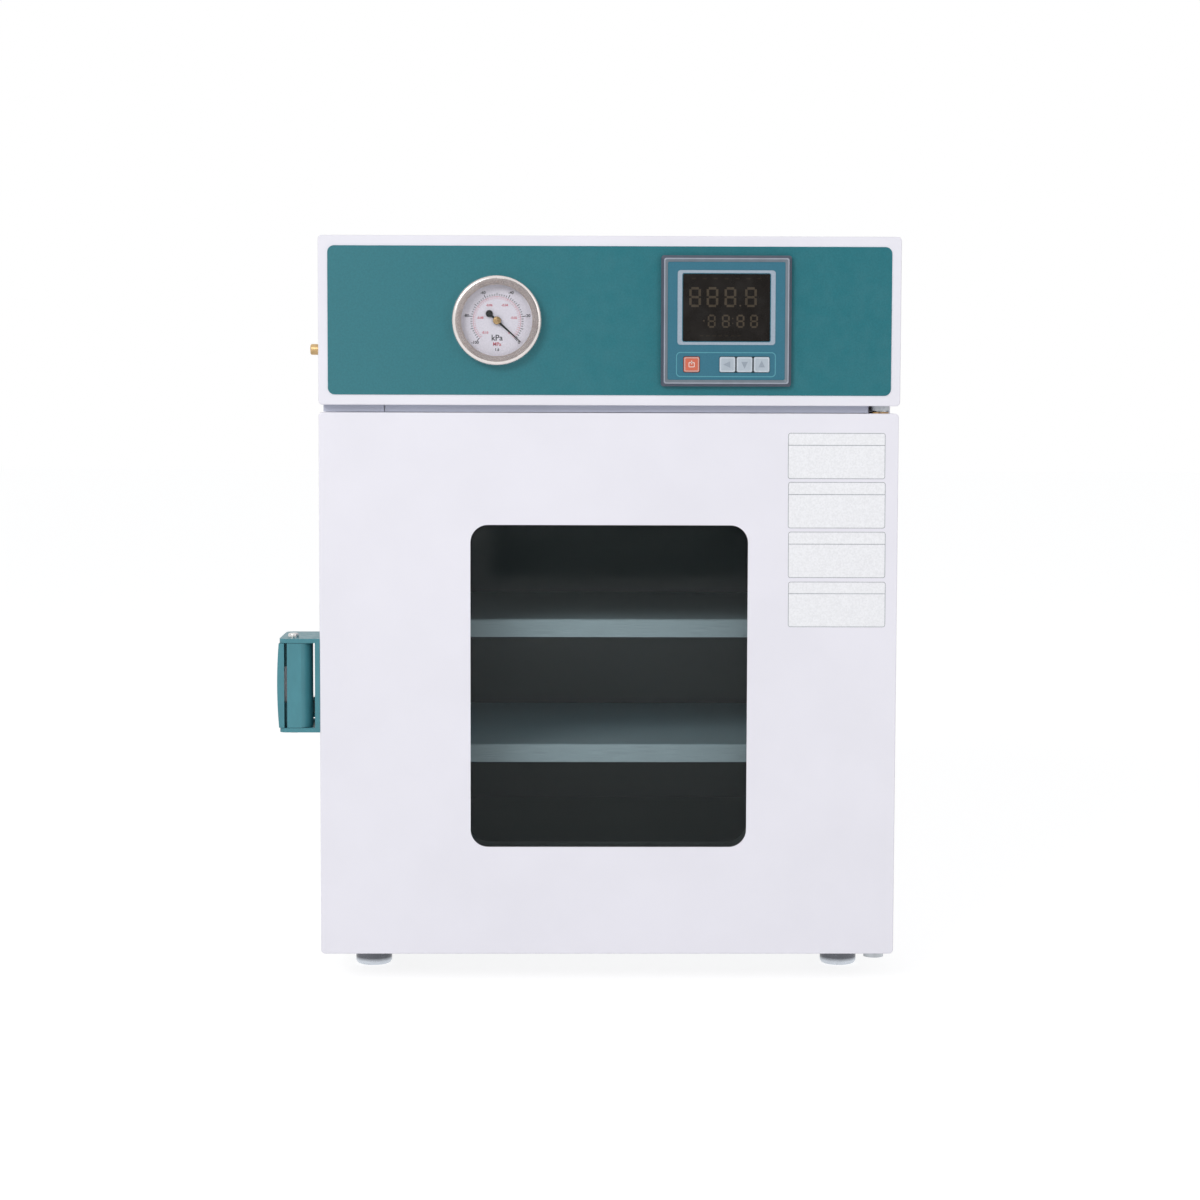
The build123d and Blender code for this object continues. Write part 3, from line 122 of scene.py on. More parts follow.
# Feet
foot_radius = 14.0
stud_length = 6.0
foot_profile = ((11.4, 0.0), (13.0, 0.7), (14.0, 2.4), (14.0, 20.0))
foot_top_radius = 12.0
foot_steps = 40

# Strip in the gap above the door
strip_setback = 9.0
strip_height = 5.1
strip_thickness = 1.2
strip_end = 3.0
strip_hinge_gap = 1.5
strip_joint = 45.0
strip_joint_gap = 0.6

# Plates on the door, stuck on by hand: each one's drop from the door's top, its height and its rule's drop
plates = ((14.2, 34.4, 9.3), (50.5, 34.7, 9.5), (87.4, 34.7, 9.4), (124.6, 34.2, 9.1))
plate_inset = 82.2
plate_width = 72.5
plate_drift = 0.3
plate_growth = 0.1


def colour(red, green, blue):
    """A colour written as 0 to 255 on screen, as the linear value that a shader takes."""
    def linear(value):
        value /= 255
        return value / 12.92 if value <= 0.04045 else ((value + 0.055) / 1.055) ** 2.4
    return (linear(red), linear(green), linear(blue), 1.0)


# Camera
def add_camera():
    """A long lens in front of the oven, a little above its middle and tilted slightly down."""
    pitch = math.radians(camera_pitch)
    yaw = math.radians(camera_yaw)
    roll = math.radians(camera_roll)
    ahead = Vector((math.sin(yaw) * math.cos(pitch), math.cos(yaw) * math.cos(pitch), -math.sin(pitch)))
    level_right = Vector((math.cos(yaw), -math.sin(yaw), 0))
    level_up = level_right.cross(ahead)
    right = math.cos(roll) * level_right + math.sin(roll) * level_up
    up = math.cos(roll) * level_up - math.sin(roll) * level_right
    data = bpy.data.cameras.new("camera")
    data.sensor_width = 36
    data.lens = camera_lens
    camera = bpy.data.objects.new("camera", data)
    turn = Matrix((right, up, -ahead)).transposed().to_4x4()
    camera.matrix_world = Matrix.Translation(camera_place) @ turn
    bpy.context.scene.collection.objects.link(camera)
    bpy.context.scene.camera = camera


# Light and surroundings
def add_lamp(name, place, width, height, power):
    """A soft rectangular lamp that looks at the oven."""
    data = bpy.data.lights.new(name, "AREA")
    data.shape = "RECTANGLE"
    data.size = width
    data.size_y = height
    data.energy = power
    lamp = bpy.data.objects.new(name, data)
    direction = Vector(lamp_aim) - Vector(place)
    turn = direction.to_track_quat("-Z", "Y").to_matrix().to_4x4()
    lamp.matrix_world = Matrix.Translation(place) @ turn
    bpy.context.scene.collection.objects.link(lamp)


def seen_directly(nodes, links):
    """A value that is 1 for camera, glossy and transmission rays and 0 for the rest."""
    path = nodes.new("ShaderNodeLightPath")
    total = path.outputs["Is Camera Ray"]
    for name in ("Is Glossy Ray", "Is Transmission Ray"):
        larger = nodes.new("ShaderNodeMath")
        larger.operation = "MAXIMUM"
        links.new(total, larger.inputs[0])
        links.new(path.outputs[name], larger.inputs[1])
        total = larger.outputs[0]
    return total


def light_the_world():
    """An even pale surround that looks white and lights the part at a lower level."""
    world = bpy.data.worlds.new("surround")
    world.use_nodes = True
    bpy.context.scene.world = world
    nodes = world.node_tree.nodes
    links = world.node_tree.links
    plain = nodes["Background"]
    plain.inputs["Color"].default_value = (0.97, 0.985, 1.0, 1)
    plain.inputs["Strength"].default_value = surround_level
    white = nodes.new("ShaderNodeBackground")
    white.inputs["Color"].default_value = (1, 1, 1, 1)
    mix = nodes.new("ShaderNodeMixShader")
    links.new(seen_directly(nodes, links), mix.inputs["Fac"])
    links.new(plain.outputs[0], mix.inputs[1])
    links.new(white.outputs[0], mix.inputs[2])
    links.new(mix.outputs[0], nodes["World Output"].inputs["Surface"])


def add_floor():
    """A wide white floor that keeps a soft shadow."""
    material = bpy.data.materials.new("floor_white")
    material.use_nodes = True
    nodes = material.node_tree.nodes
    links = material.node_tree.links
    shader = nodes["Principled BSDF"]
    shader.inputs["Base Color"].default_value = (0.93, 0.93, 0.93, 1)
    shader.inputs["Roughness"].default_value = 0.9
    shader.inputs["Specular IOR Level"].default_value = 0.1
    glow = nodes.new("ShaderNodeEmission")
    glow.inputs["Strength"].default_value = floor_glow
    share = nodes.new("ShaderNodeMath")
    share.operation = "MULTIPLY"
    share.inputs[1].default_value = floor_glow_share
    links.new(seen_directly(nodes, links), share.inputs[0])
    mix = nodes.new("ShaderNodeMixShader")
    links.new(share.outputs[0], mix.inputs["Fac"])
    links.new(shader.outputs[0], mix.inputs[1])
    links.new(glow.outputs[0], mix.inputs[2])
    links.new(mix.outputs[0], nodes["Material Output"].inputs["Surface"])
    floor = flat_card("floor", floor_size, floor_size, (0, 0, -floor_drop), (0, 0, 1))
    floor.data.materials.append(material)


def flat_card(name, width, height, place, facing):
    """A plain rectangle that belongs to the studio and not to the part."""
    mesh = bpy.data.meshes.new(name)
    w, h = width / 2, height / 2
    mesh.from_pydata([(-w, -h, 0), (w, -h, 0), (w, h, 0), (-w, h, 0)], [], [(0, 1, 2, 3)])
    card = bpy.data.objects.new(name, mesh)
    turn = Vector(facing).to_track_quat("Z", "Y").to_matrix().to_4x4()
    card.matrix_world = Matrix.Translation(place) @ turn
    bpy.context.scene.collection.objects.link(card)
    return card


def add_dark_card(name, width, height, place, facing, level):
    """A dark card that only shows in reflections, as the unlit side of a studio does."""
    card = flat_card(name, width, height, place, facing)
    material = bpy.data.materials.new(name)
    material.use_nodes = True
    nodes = material.node_tree.nodes
    nodes.remove(nodes["Principled BSDF"])
    glow = nodes.new("ShaderNodeEmission")
    glow.inputs["Color"].default_value = (level, level, level, 1)
    material.node_tree.links.new(glow.outputs[0], nodes["Material Output"].inputs["Surface"])
    card.data.materials.append(material)
    card.visible_camera = False
    card.visible_diffuse = False
    card.visible_shadow = False
    card.visible_transmission = False


# Materials
def new_material(name, base, roughness, metallic=0.0):
    """A material with its plain values set."""
    material = bpy.data.materials.new(name)
    material.use_nodes = True
    shader = material.node_tree.nodes["Principled BSDF"]
    shader.inputs["Base Color"].default_value = base
    shader.inputs["Roughness"].default_value = roughness
    shader.inputs["Metallic"].default_value = metallic
    return material


def shader_of(material):
    """A material's main shader."""
    return material.node_tree.nodes["Principled BSDF"]


def noise(material, size, stretch=(1, 1, 1), detail=3.0):
    """Noise whose features are about size millimetres wide, drawn out along an axis by stretch."""
    nodes = material.node_tree.nodes
    links = material.node_tree.links
    place = nodes.new("ShaderNodeTexCoord")
    mapping = nodes.new("ShaderNodeMapping")
    mapping.inputs["Scale"].default_value = [1 / (size * mm * s) for s in stretch]
    texture = nodes.new("ShaderNodeTexNoise")
    texture.inputs["Scale"].default_value = 1.0
    texture.inputs["Detail"].default_value = detail
    links.new(place.outputs["Object"], mapping.inputs["Vector"])
    links.new(mapping.outputs["Vector"], texture.inputs["Vector"])
    return texture.outputs["Fac"]


def vary_colour(material, source, first, second, low=0.35, high=0.65):
    """The base colour runs from first to second as the source rises."""
    ramp = material.node_tree.nodes.new("ShaderNodeValToRGB")
    ramp.color_ramp.elements[0].position = low
    ramp.color_ramp.elements[1].position = high
    ramp.color_ramp.elements[0].color = first
    ramp.color_ramp.elements[1].color = second
    material.node_tree.links.new(source, ramp.inputs["Fac"])
    material.node_tree.links.new(ramp.outputs["Color"], shader_of(material).inputs["Base Color"])


def vary_roughness(material, source, low, high):
    """The roughness runs from low to high as the source rises."""
    spread = material.node_tree.nodes.new("ShaderNodeMapRange")
    spread.inputs["From Min"].default_value = 0.3
    spread.inputs["From Max"].default_value = 0.7
    spread.inputs["To Min"].default_value = low
    spread.inputs["To Max"].default_value = high
    material.node_tree.links.new(source, spread.inputs["Value"])
    material.node_tree.links.new(spread.outputs[0], shader_of(material).inputs["Roughness"])


def add_bump(material, source, height, strength=1.0):
    """Raises the surface by up to height millimetres where the source is high."""
    bump = material.node_tree.nodes.new("ShaderNodeBump")
    bump.inputs["Distance"].default_value = height * mm
    bump.inputs["Strength"].default_value = strength
    material.node_tree.links.new(source, bump.inputs["Height"])
    material.node_tree.links.new(bump.outputs["Normal"], shader_of(material).inputs["Normal"])


def shade(base, factor):
    """A colour made darker or lighter."""
    return (base[0] * factor, base[1] * factor, base[2] * factor, 1.0)


def powder_coat(name, base):
    """Stove enamel with a slight orange peel."""
    material = new_material(name, base, 0.36)
    vary_colour(material, noise(material, 60, detail=4), shade(base, 0.985), shade(base, 1.012))
    vary_roughness(material, noise(material, 25), 0.32, 0.42)
    add_bump(material, noise(material, 1.6, detail=2), 0.02, 0.5)
    return material


def printed_film(name, base, grain=0.35, roughness=0.4):
    """Matt plastic film with a fine sprayed grain."""
    material = new_material(name, base, roughness)
    vary_colour(material, noise(material, 1.2, detail=4), shade(base, 0.95), shade(base, 1.05))
    vary_roughness(material, noise(material, 8), roughness - 0.04, roughness + 0.04)
    add_bump(material, noise(material, grain, detail=2), 0.01, 0.6)
    return material


def moulded_plastic(name, base, roughness=0.38, grain=0.7):
    """Moulded plastic with a fine leather-like grain and faint flow marks."""
    material = new_material(name, base, roughness)
    vary_colour(material, noise(material, 9, (1, 1, 2.5), 4), shade(base, 0.94), shade(base, 1.06))
    vary_roughness(material, noise(material, 4), roughness - 0.06, roughness + 0.08)
    add_bump(material, noise(material, grain, detail=3), 0.03, 0.5)
    return material


def brushed_metal(name, base, roughness=0.34, stretch=(40, 1, 1), metallic=1.0):
    """Metal with fine parallel lines from rolling or brushing."""
    material = new_material(name, base, roughness, metallic)
    lines = noise(material, 0.5, stretch, 4)
    vary_colour(material, lines, shade(base, 0.86), shade(base, 1.08))
    vary_roughness(material, noise(material, 0.9, stretch, 3), roughness - 0.08, roughness + 0.1)
    add_bump(material, lines, 0.01, 0.4)
    return material


def polished_metal(name, base, roughness=0.14):
    """Bright plating with faint haze and fine marks."""
    material = new_material(name, base, roughness, 1.0)
    vary_colour(material, noise(material, 16, detail=4), shade(base, 0.97), shade(base, 1.02))
    vary_roughness(material, noise(material, 9, detail=5), roughness - 0.03, roughness + 0.05)
    return material


def foot_plating_painted_reflection(name, dark, pale):
    """Bright plating with a painted reflection: the colour runs from pale near the bottom, for the table
    below, to dark higher up, for the cabinet's underside.
    """
    material = new_material(name, dark, 0.26, 0.9)
    nodes = material.node_tree.nodes
    links = material.node_tree.links
    place = nodes.new("ShaderNodeTexCoord")
    split = nodes.new("ShaderNodeSeparateXYZ")
    rise = nodes.new("ShaderNodeMapRange")
    rise.inputs["From Min"].default_value = 2.5 * mm
    rise.inputs["From Max"].default_value = 6 * mm
    links.new(place.outputs["Object"], split.inputs[0])
    links.new(split.outputs["Z"], rise.inputs["Value"])
    # Painted reflection: pale low on the foot, dark higher up.
    vary_colour(material, rise.outputs[0], pale, dark, 0.1, 0.9)
    vary_roughness(material, noise(material, 5, detail=4), 0.2, 0.34)
    return material


def zinc_plate(name, base):
    """Galvanised sheet with a soft spangle."""
    material = new_material(name, base, 0.45, 0.9)
    nodes = material.node_tree.nodes
    links = material.node_tree.links
    place = nodes.new("ShaderNodeTexCoord")
    cells = nodes.new("ShaderNodeTexVoronoi")
    cells.inputs["Scale"].default_value = 130
    links.new(place.outputs["Object"], cells.inputs["Vector"])
    vary_colour(material, cells.outputs["Distance"], shade(base, 0.85), shade(base, 1.1), 0.1, 0.8)
    vary_roughness(material, noise(material, 6), 0.36, 0.55)
    return material


def turned_brass(name, base):
    """Yellow metal, slightly dulled in patches."""
    material = new_material(name, base, 0.28, 1.0)
    vary_colour(material, noise(material, 4, detail=6), shade(base, 0.78), shade(base, 1.08))
    vary_roughness(material, noise(material, 1.5, (1, 1, 1), 5), 0.2, 0.42)
    add_bump(material, noise(material, 0.4, (30, 1, 1)), 0.01, 0.4)
    return material


def soft_rubber(name, base, roughness=0.62):
    """Rubber or silicone with a dusty surface."""
    material = new_material(name, base, roughness)
    vary_colour(material, noise(material, 5, detail=5), shade(base, 0.85), shade(base, 1.15))
    vary_roughness(material, noise(material, 3), roughness - 0.08, roughness + 0.1)
    add_bump(material, noise(material, 0.6, detail=4), 0.03, 0.6)
    return material


def mineral_wool(name, base):
    """Matted pale fibres."""
    material = new_material(name, base, 0.95)
    fibres = noise(material, 2.5, (6, 1, 1), 8)
    vary_colour(material, fibres, shade(base, 0.7), shade(base, 1.1))
    add_bump(material, fibres, 0.8, 0.9)
    return material


def woven_mat(name, base):
    """Silicone mat with a glass weave that shows through."""
    material = new_material(name, base, 0.6)
    nodes = material.node_tree.nodes
    links = material.node_tree.links
    place = nodes.new("ShaderNodeTexCoord")
    weave = nodes.new("ShaderNodeMath")
    weave.operation = "MULTIPLY"
    for i, direction in enumerate(("Y", "Z")):
        wave = nodes.new("ShaderNodeTexWave")
        wave.bands_direction = direction
        wave.inputs["Scale"].default_value = 160
        links.new(place.outputs["Object"], wave.inputs["Vector"])
        links.new(wave.outputs["Fac"], weave.inputs[i])
    vary_colour(material, weave.outputs[0], shade(base, 0.75), shade(base, 1.1), 0.0, 1.0)
    add_bump(material, weave.outputs[0], 0.15, 0.7)
    return material


def glass(name, tint, alpha, roughness=0.03):
    """A see-through sheet with a tint and faint smears."""
    material = new_material(name, tint, roughness)
    shader_of(material).inputs["Alpha"].default_value = alpha
    vary_roughness(material, noise(material, 45, detail=5), roughness * 0.6, roughness * 2)
    vary_colour(material, noise(material, 80, detail=3), shade(tint, 0.9), shade(tint, 1.1))
    return material


def glossy_filter(name, base):
    """The display's dark glossy window."""
    material = new_material(name, base, 0.16)
    vary_colour(material, noise(material, 12), shade(base, 0.88), shade(base, 1.12))
    vary_roughness(material, noise(material, 10, detail=4), 0.12, 0.22)
    return material


white_enamel = colour(237, 235, 243)
teal_film = colour(46, 117, 127)
latch_teal = colour(70, 134, 145)

finishes = {
    "white_paint": powder_coat("white_enamel", white_enamel),
    "teal_overlay": printed_film("teal_film", teal_film, roughness=0.23),
    "teal_plastic": moulded_plastic("latch_plastic", latch_teal),
    "tinted_glass": glass("smoked_glass", colour(30, 38, 40), 0.17),
    "clear_glass": glass("clear_glass", colour(74, 84, 82), 0.06),
    "stainless": brushed_metal("stainless", colour(186, 189, 190)),
    "galvanised": zinc_plate("zinc_plate", colour(188, 192, 196)),
    "plated": polished_metal("bright_plate", colour(214, 212, 210)),
    "aluminium": brushed_metal("mill_aluminium", colour(206, 209, 211), 0.38),
    "brass": turned_brass("brass", colour(207, 175, 128)),
    "copper": turned_brass("copper", colour(198, 130, 98)),
    "bronze": turned_brass("bronze", colour(168, 132, 84)),
    "black_rubber": soft_rubber("black_rubber", colour(44, 44, 46)),
    "silicone": soft_rubber("silicone", colour(214, 208, 198), 0.5),
    "heater_mat": woven_mat("heater_mat", colour(190, 96, 52)),
    "mineral_wool": mineral_wool("mineral_wool", colour(222, 212, 184)),
    "grey_plastic": moulded_plastic("bezel_plastic", colour(114, 123, 133), 0.42, 0.5),
    "face_teal": printed_film("face_film", colour(44, 109, 130)),
    "black_plastic": moulded_plastic("black_plastic", colour(46, 46, 48), 0.45),
    "display_dark": glossy_filter("display_filter", colour(34, 31, 29)),
    "key_red": moulded_plastic("red_key", colour(206, 103, 77), 0.5, 0.4),
    "key_grey": moulded_plastic("grey_key", colour(176, 186, 196), 0.5, 0.4),
    "dial_white": printed_film("dial_white", colour(238, 234, 245)),
    "pointer_black": printed_film("pointer_black", colour(15, 15, 16)),
}


# Pieces that look different from the rest of their slot, through painted light: painted shade on the
# chamber's steel and painted reflection on the shelves and the gauge's bezel
# Painted reflection: the shelves' lips are pale blue and almost matt, in place of the bright studio that
# real steel lips would mirror.
shelf_painted_reflection = brushed_metal("shelf_painted_reflection", colour(214, 243, 252), 0.4, metallic=0.05)
# Painted reflection: the gauge's bezel is brighter than the other plating and partly matt, so it looks
# bright without mirroring the dark card.
gauge_chrome_painted_reflection = polished_metal("gauge_chrome_painted_reflection", colour(226, 219, 216), 0.16)
shader_of(gauge_chrome_painted_reflection).inputs["Metallic"].default_value = 0.75
own_finishes = {
    # Painted shade: the chamber's steel is much darker than the other stainless, for the shade inside the
    # closed chamber.
    "vacuum_chamber": brushed_metal("chamber_steel_painted_shade", colour(104, 106, 106), 0.42),
    "upper_shelf": shelf_painted_reflection,
    "lower_shelf": shelf_painted_reflection,
    "gauge_bezel": gauge_chrome_painted_reflection,
}


def dress_frame():
    """Every carried-over piece takes its own finish, or else that of its slot."""
    slots = {part["node"]: part["material_slot"] for part in frame["record"]["subparts"]}
    for node, thing in frame["nodes"].items():
        finish = own_finishes.get(node, finishes[slots[node]])
        for place in thing.material_slots:
            place.material = finish


# Building blocks for printed and stuck-on details
def rounded_outline(x, z, width, height, corner, steps=6):
    """Points round a rounded rectangle."""
    points = []
    for i, (sx, sz) in enumerate(((1, 1), (-1, 1), (-1, -1), (1, -1))):
        cx = x + sx * (width / 2 - corner)
        cz = z + sz * (height / 2 - corner)
        for k in range(steps + 1):
            angle = math.radians(90 * (i + k / steps))
            points.append((cx + corner * math.cos(angle), cz + corner * math.sin(angle)))
    return points


def round_outline(x, z, radius, steps=48):
    """Points round a circle."""
    turns = [2 * math.pi * i / steps for i in range(steps)]
    return [(x + radius * math.cos(a), z + radius * math.sin(a)) for a in turns]


def spot(form, point, y):
    """A corner at X and Z in millimetres, at depth y."""
    return form.verts.new((point[0] * mm, y * mm, point[1] * mm))


def add_prism(form, outline, front, back):
    """A closed flat shape with an outline in X and Z, from front to back."""
    near = [spot(form, p, front) for p in outline]
    far = [spot(form, p, back) for p in outline]
    form.faces.new(near)
    form.faces.new(list(reversed(far)))
    for i in range(len(outline)):
        k = (i + 1) % len(outline)
        form.faces.new((near[i], far[i], far[k], near[k]))


def add_ring(form, outer, inner, front, back):
    """A closed flat ring between two outlines with equally many points."""
    loops = []
    for outline, y in ((outer, front), (outer, back), (inner, back), (inner, front)):
        loops.append([spot(form, p, y) for p in outline])
    count = len(outer)
    for a, b in zip(loops, loops[1:] + loops[:1]):
        for i in range(count):
            k = (i + 1) % count
            form.faces.new((a[i], b[i], b[k], a[k]))


def add_turned(form, loops):
    """A closed turned shape through rings of equally many points."""
    count = len(loops[0])
    for a, b in zip(loops, loops[1:]):
        for i in range(count):
            k = (i + 1) % count
            form.faces.new((a[i], a[k], b[k], b[i]))
    form.faces.new(loops[-1])
    form.faces.new(list(reversed(loops[0])))


def add_bar(form, start, end, width, front, back):
    """A straight bar between two points in X and Z."""
    along = Vector(end) - Vector(start)
    side = Vector((-along.y, along.x)).normalized() * width / 2
    corners = [Vector(start) + side, Vector(start) - side, Vector(end) - side, Vector(end) + side]
    add_prism(form, [tuple(c) for c in corners], front, back)


def add_words(form, words, x, z, size, face):
    """Raised lettering centred on a point, on a face that looks forward."""
    data = bpy.data.curves.new("words", "FONT")
    data.body = words
    data.size = size * mm
    data.align_x = "CENTER"
    data.align_y = "CENTER"
    data.extrude = print_thickness / 2 * mm
    data.offset = print_weight * mm
    data.resolution_u = 3
    carrier = bpy.data.objects.new("words", data)
    carrier.location = (x * mm, (face - print_thickness / 2) * mm, z * mm)
    carrier.rotation_euler = (math.radians(90), 0, 0)
    bpy.context.scene.collection.objects.link(carrier)
    bpy.context.view_layer.update()
    mesh = bpy.data.meshes.new_from_object(carrier.evaluated_get(bpy.context.evaluated_depsgraph_get()))
    mesh.transform(carrier.matrix_world)
    form.from_mesh(mesh)
    bpy.data.objects.remove(carrier)
    bpy.data.meshes.remove(mesh)


def add_piece(name, form, body, material):
    """Turns a form into a piece that rides on a body."""
    bmesh.ops.recalc_face_normals(form, faces=form.faces)
    mesh = bpy.data.meshes.new(name)
    form.to_mesh(mesh)
    form.free()
    mesh.materials.append(material)
    piece = bpy.data.objects.new(name, mesh)
    bpy.context.scene.collection.objects.link(piece)
    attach(piece, body)
    return piece


# Gauge dial
gauge_x = (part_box("gauge_dial")[0].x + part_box("gauge_dial")[1].x) / 2 / mm
gauge_z = (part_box("gauge_dial")[0].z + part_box("gauge_dial")[1].z) / 2 / mm
ink_black = printed_film("ink_black", colour(38, 36, 46))
ink_red = printed_film("ink_red", colour(204, 96, 112))


def dial_point(share, radius):
    """A point on the dial at a share of the scale's sweep."""
    angle = math.radians(scale_start + scale_sweep * share)
    return (gauge_x + radius * math.cos(angle), gauge_z + radius * math.sin(angle))


def draw_scale(form, radius, lengths, width):
    """Fifty divisions with a longer mark at every fifth and the longest at every tenth."""
    front = dial_face - print_thickness
    longest, longer, plain = lengths
    for i in range(divisions + 1):
        length = longest if i % 10 == 0 else longer if i % 5 == 0 else plain
        start = dial_point(i / divisions, radius)
        end = dial_point(i / divisions, radius + length)
        add_bar(form, start, end, width, front, dial_face)


def draw_arc(form, radius, width):
    """A thin arc along the whole scale."""
    steps = 72
    inner = [dial_point(i / steps, radius - width / 2) for i in range(steps + 1)]
    outer = [dial_point(i / steps, radius + width / 2) for i in range(steps + 1)]
    add_prism(form, outer + list(reversed(inner)), dial_face - print_thickness, dial_face)


def dial_print():
    """Two scales with their numbers and units."""
    black = bmesh.new()
    draw_scale(black, black_ring, (2.8, 2.2, 1.4), 0.5)
    for i in range(number_count):
        x, z = dial_point(i / (number_count - 1), black_number_ring)
        value = 100 - 20 * i
        add_words(black, f"-{value}" if value else "0", x, z, 3.0, dial_face)
    add_words(black, "kPa", gauge_x, gauge_z - black_unit_drop, 6.0, dial_face)
    add_words(black, "1.6", gauge_x, gauge_z - class_drop, 2.8, dial_face)
    add_piece("dial_print_black", black, "cabinet", ink_black)
    red = bmesh.new()
    draw_arc(red, red_arc, 0.25)
    draw_scale(red, red_ring, (1.6, 1.6, 0.9), 0.3)
    for i in range(number_count):
        x, z = dial_point(i / (number_count - 1), red_number_ring)
        value = 0.1 - 0.02 * i
        add_words(red, f"-{value:.2f}" if i < 5 else "0", x, z, 2.4, dial_face)
    add_words(red, "MPa", gauge_x, gauge_z - red_unit_drop, 3.6, dial_face)
    add_piece("dial_print_red", red, "cabinet", ink_red)


def pointer_hub():
    """Turned brass cap on the pointer's middle."""
    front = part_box("gauge_pointer")[0].y / mm
    form = bmesh.new()
    loops = []
    for radius, y in hub_profile:
        loops.append([spot(form, p, front + y) for p in round_outline(gauge_x, gauge_z, radius, hub_steps)])
    add_turned(form, loops)
    add_piece("pointer_hub", form, "pointer", finishes["brass"])


# Controller
controller_x = (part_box("controller_face")[0].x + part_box("controller_face")[1].x) / 2 / mm
display_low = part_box("controller_display")[0] / mm
display_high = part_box("controller_display")[1] / mm
display_x = (display_low.x + display_high.x) / 2
display_z = (display_low.z + display_high.z) / 2
segment_off = glossy_filter("unlit_segment", colour(74, 66, 56))
faint_mark = glossy_filter("faint_mark", colour(46, 41, 35))
# Painted shade on the bezel's outer chamfer and a painted highlight on its ridge: darker and lighter copies
# of the grey bezel plastic.
bezel_painted_shade = moulded_plastic("bezel_painted_shade", colour(72, 79, 94), 0.42, 0.5)
bezel_painted_highlight = moulded_plastic("bezel_painted_highlight", colour(158, 164, 176), 0.42, 0.5)
frame_grey = printed_film("display_border", colour(158, 172, 186))
face_line = printed_film("face_line", colour(86, 156, 170))
key_rim_red = printed_film("red_key_rim", colour(196, 166, 160))
key_rim_grey = printed_film("grey_key_rim", colour(200, 208, 216))
key_mark = printed_film("key_mark", colour(232, 206, 198))
arrow_mark = printed_film("arrow_mark", colour(150, 160, 172))


def add_digit(form, x, z, width, height, stroke, face):
    """A figure eight of seven separate segments, its lower left corner at X and Z."""
    front = face - print_thickness
    gap = stroke * 0.35
    left, right = x + stroke / 2, x + width - stroke / 2
    levels = (z + stroke / 2, z + height / 2, z + height - stroke / 2)
    for level in levels:
        add_bar(form, (left + gap, level), (right - gap, level), stroke, front, face)
    for side in (left, right):
        for low, high in zip(levels, levels[1:]):
            add_bar(form, (side, low + gap), (side, high - gap), stroke, front, face)


def display_print():
    """Unlit digits, dots and small marks behind the dark window."""
    form = bmesh.new()
    face = display_face
    front = face - print_thickness
    for x in big_digits:
        add_digit(form, display_x + x, display_z + big_digit_rise, 8.6, 14.6, 1.8, face)
    for x in small_digits:
        add_digit(form, display_x + x, display_z + small_digit_rise, 5.8, 9.6, 1.3, face)
    for x, z, size in dots:
        add_prism(form, round_outline(display_x + x, display_z + z, size / 2, 16), front, face)
    add_piece("display_segments", form, "cabinet", segment_off)
    marks = bmesh.new()
    for start, rise, pitch, length, width in mark_rows:
        for i in range(mark_count):
            x, z = display_x + start + i * pitch, display_z + rise
            add_bar(marks, (x, z), (x + length, z), width, front, face)
    add_piece("display_marks", marks, "cabinet", faint_mark)


def chamfered_bezel():
    """The controller's frame: its outer chamfer darker with painted shade, its ridge lighter with a painted
    highlight, and a sloping inner band in the plain grey plastic.
    """
    low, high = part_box("controller_bezel")
    x, z = (low.x + high.x) / 2 / mm, (low.z + high.z) / 2 / mm
    size = (high.x - low.x) / mm
    front, back = low.y / mm, high.y / mm
    inner = size - 2 * frame_border
    ridge = size - 2 * frame_chamfer
    shaded_edge_paint, band_paint, lit_ridge_paint = 0, 1, 2
    steps = (
        (inner, 1.0, back, band_paint),
        (size, 2.0, back, shaded_edge_paint),
        (size, 2.0, front + frame_chamfer, shaded_edge_paint),
        (ridge, 1.6, front, lit_ridge_paint),
        (ridge - 2 * frame_ridge, 1.4, front, band_paint),
        (inner, 1.0, front + frame_slope, band_paint),
    )
    form = bmesh.new()
    loops = []
    for side, corner, y, paint in steps:
        loops.append([spot(form, p, y) for p in rounded_outline(x, z, side, side, corner)])
    count = len(loops[0])
    for a, b, step in zip(loops, loops[1:] + loops[:1], steps):
        for i in range(count):
            k = (i + 1) % count
            form.faces.new((a[i], b[i], b[k], a[k])).material_index = step[3]
    piece = add_piece("chamfered_bezel", form, "cabinet", bezel_painted_shade)
    piece.data.materials.append(finishes["grey_plastic"])
    piece.data.materials.append(bezel_painted_highlight)
    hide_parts("controller_bezel")


def face_print():
    """Pale border round the display and the outline round the keys."""
    border = bmesh.new()
    width = display_high.x - display_low.x
    height = display_high.z - display_low.z
    outer = rounded_outline(display_x, display_z, width + border_side, height + border_edge, 2.2)
    inner = rounded_outline(display_x, display_z, width + border_inside, height + border_inside, 1.6)
    add_ring(border, outer, inner, plate_face - border_rise, plate_face)
    add_piece("display_border", border, "cabinet", frame_grey)
    line = bmesh.new()
    x = controller_x - key_line_shift
    z = key_middle("power_key")[1] - key_line_drop
    outer = rounded_outline(x, z, key_line_width, key_line_height, 3.0)
    inner = rounded_outline(x, z, key_line_width - 1.2, key_line_height - 1.2, 2.4)
    add_ring(line, outer, inner, plate_face - print_thickness, plate_face)
    add_piece("key_group_line", line, "cabinet", face_line)


def key_middle(node):
    """The middle of a key, as X and Z in millimetres."""
    low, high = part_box(node)
    return (low.x + high.x) / 2 / mm, (low.z + high.z) / 2 / mm


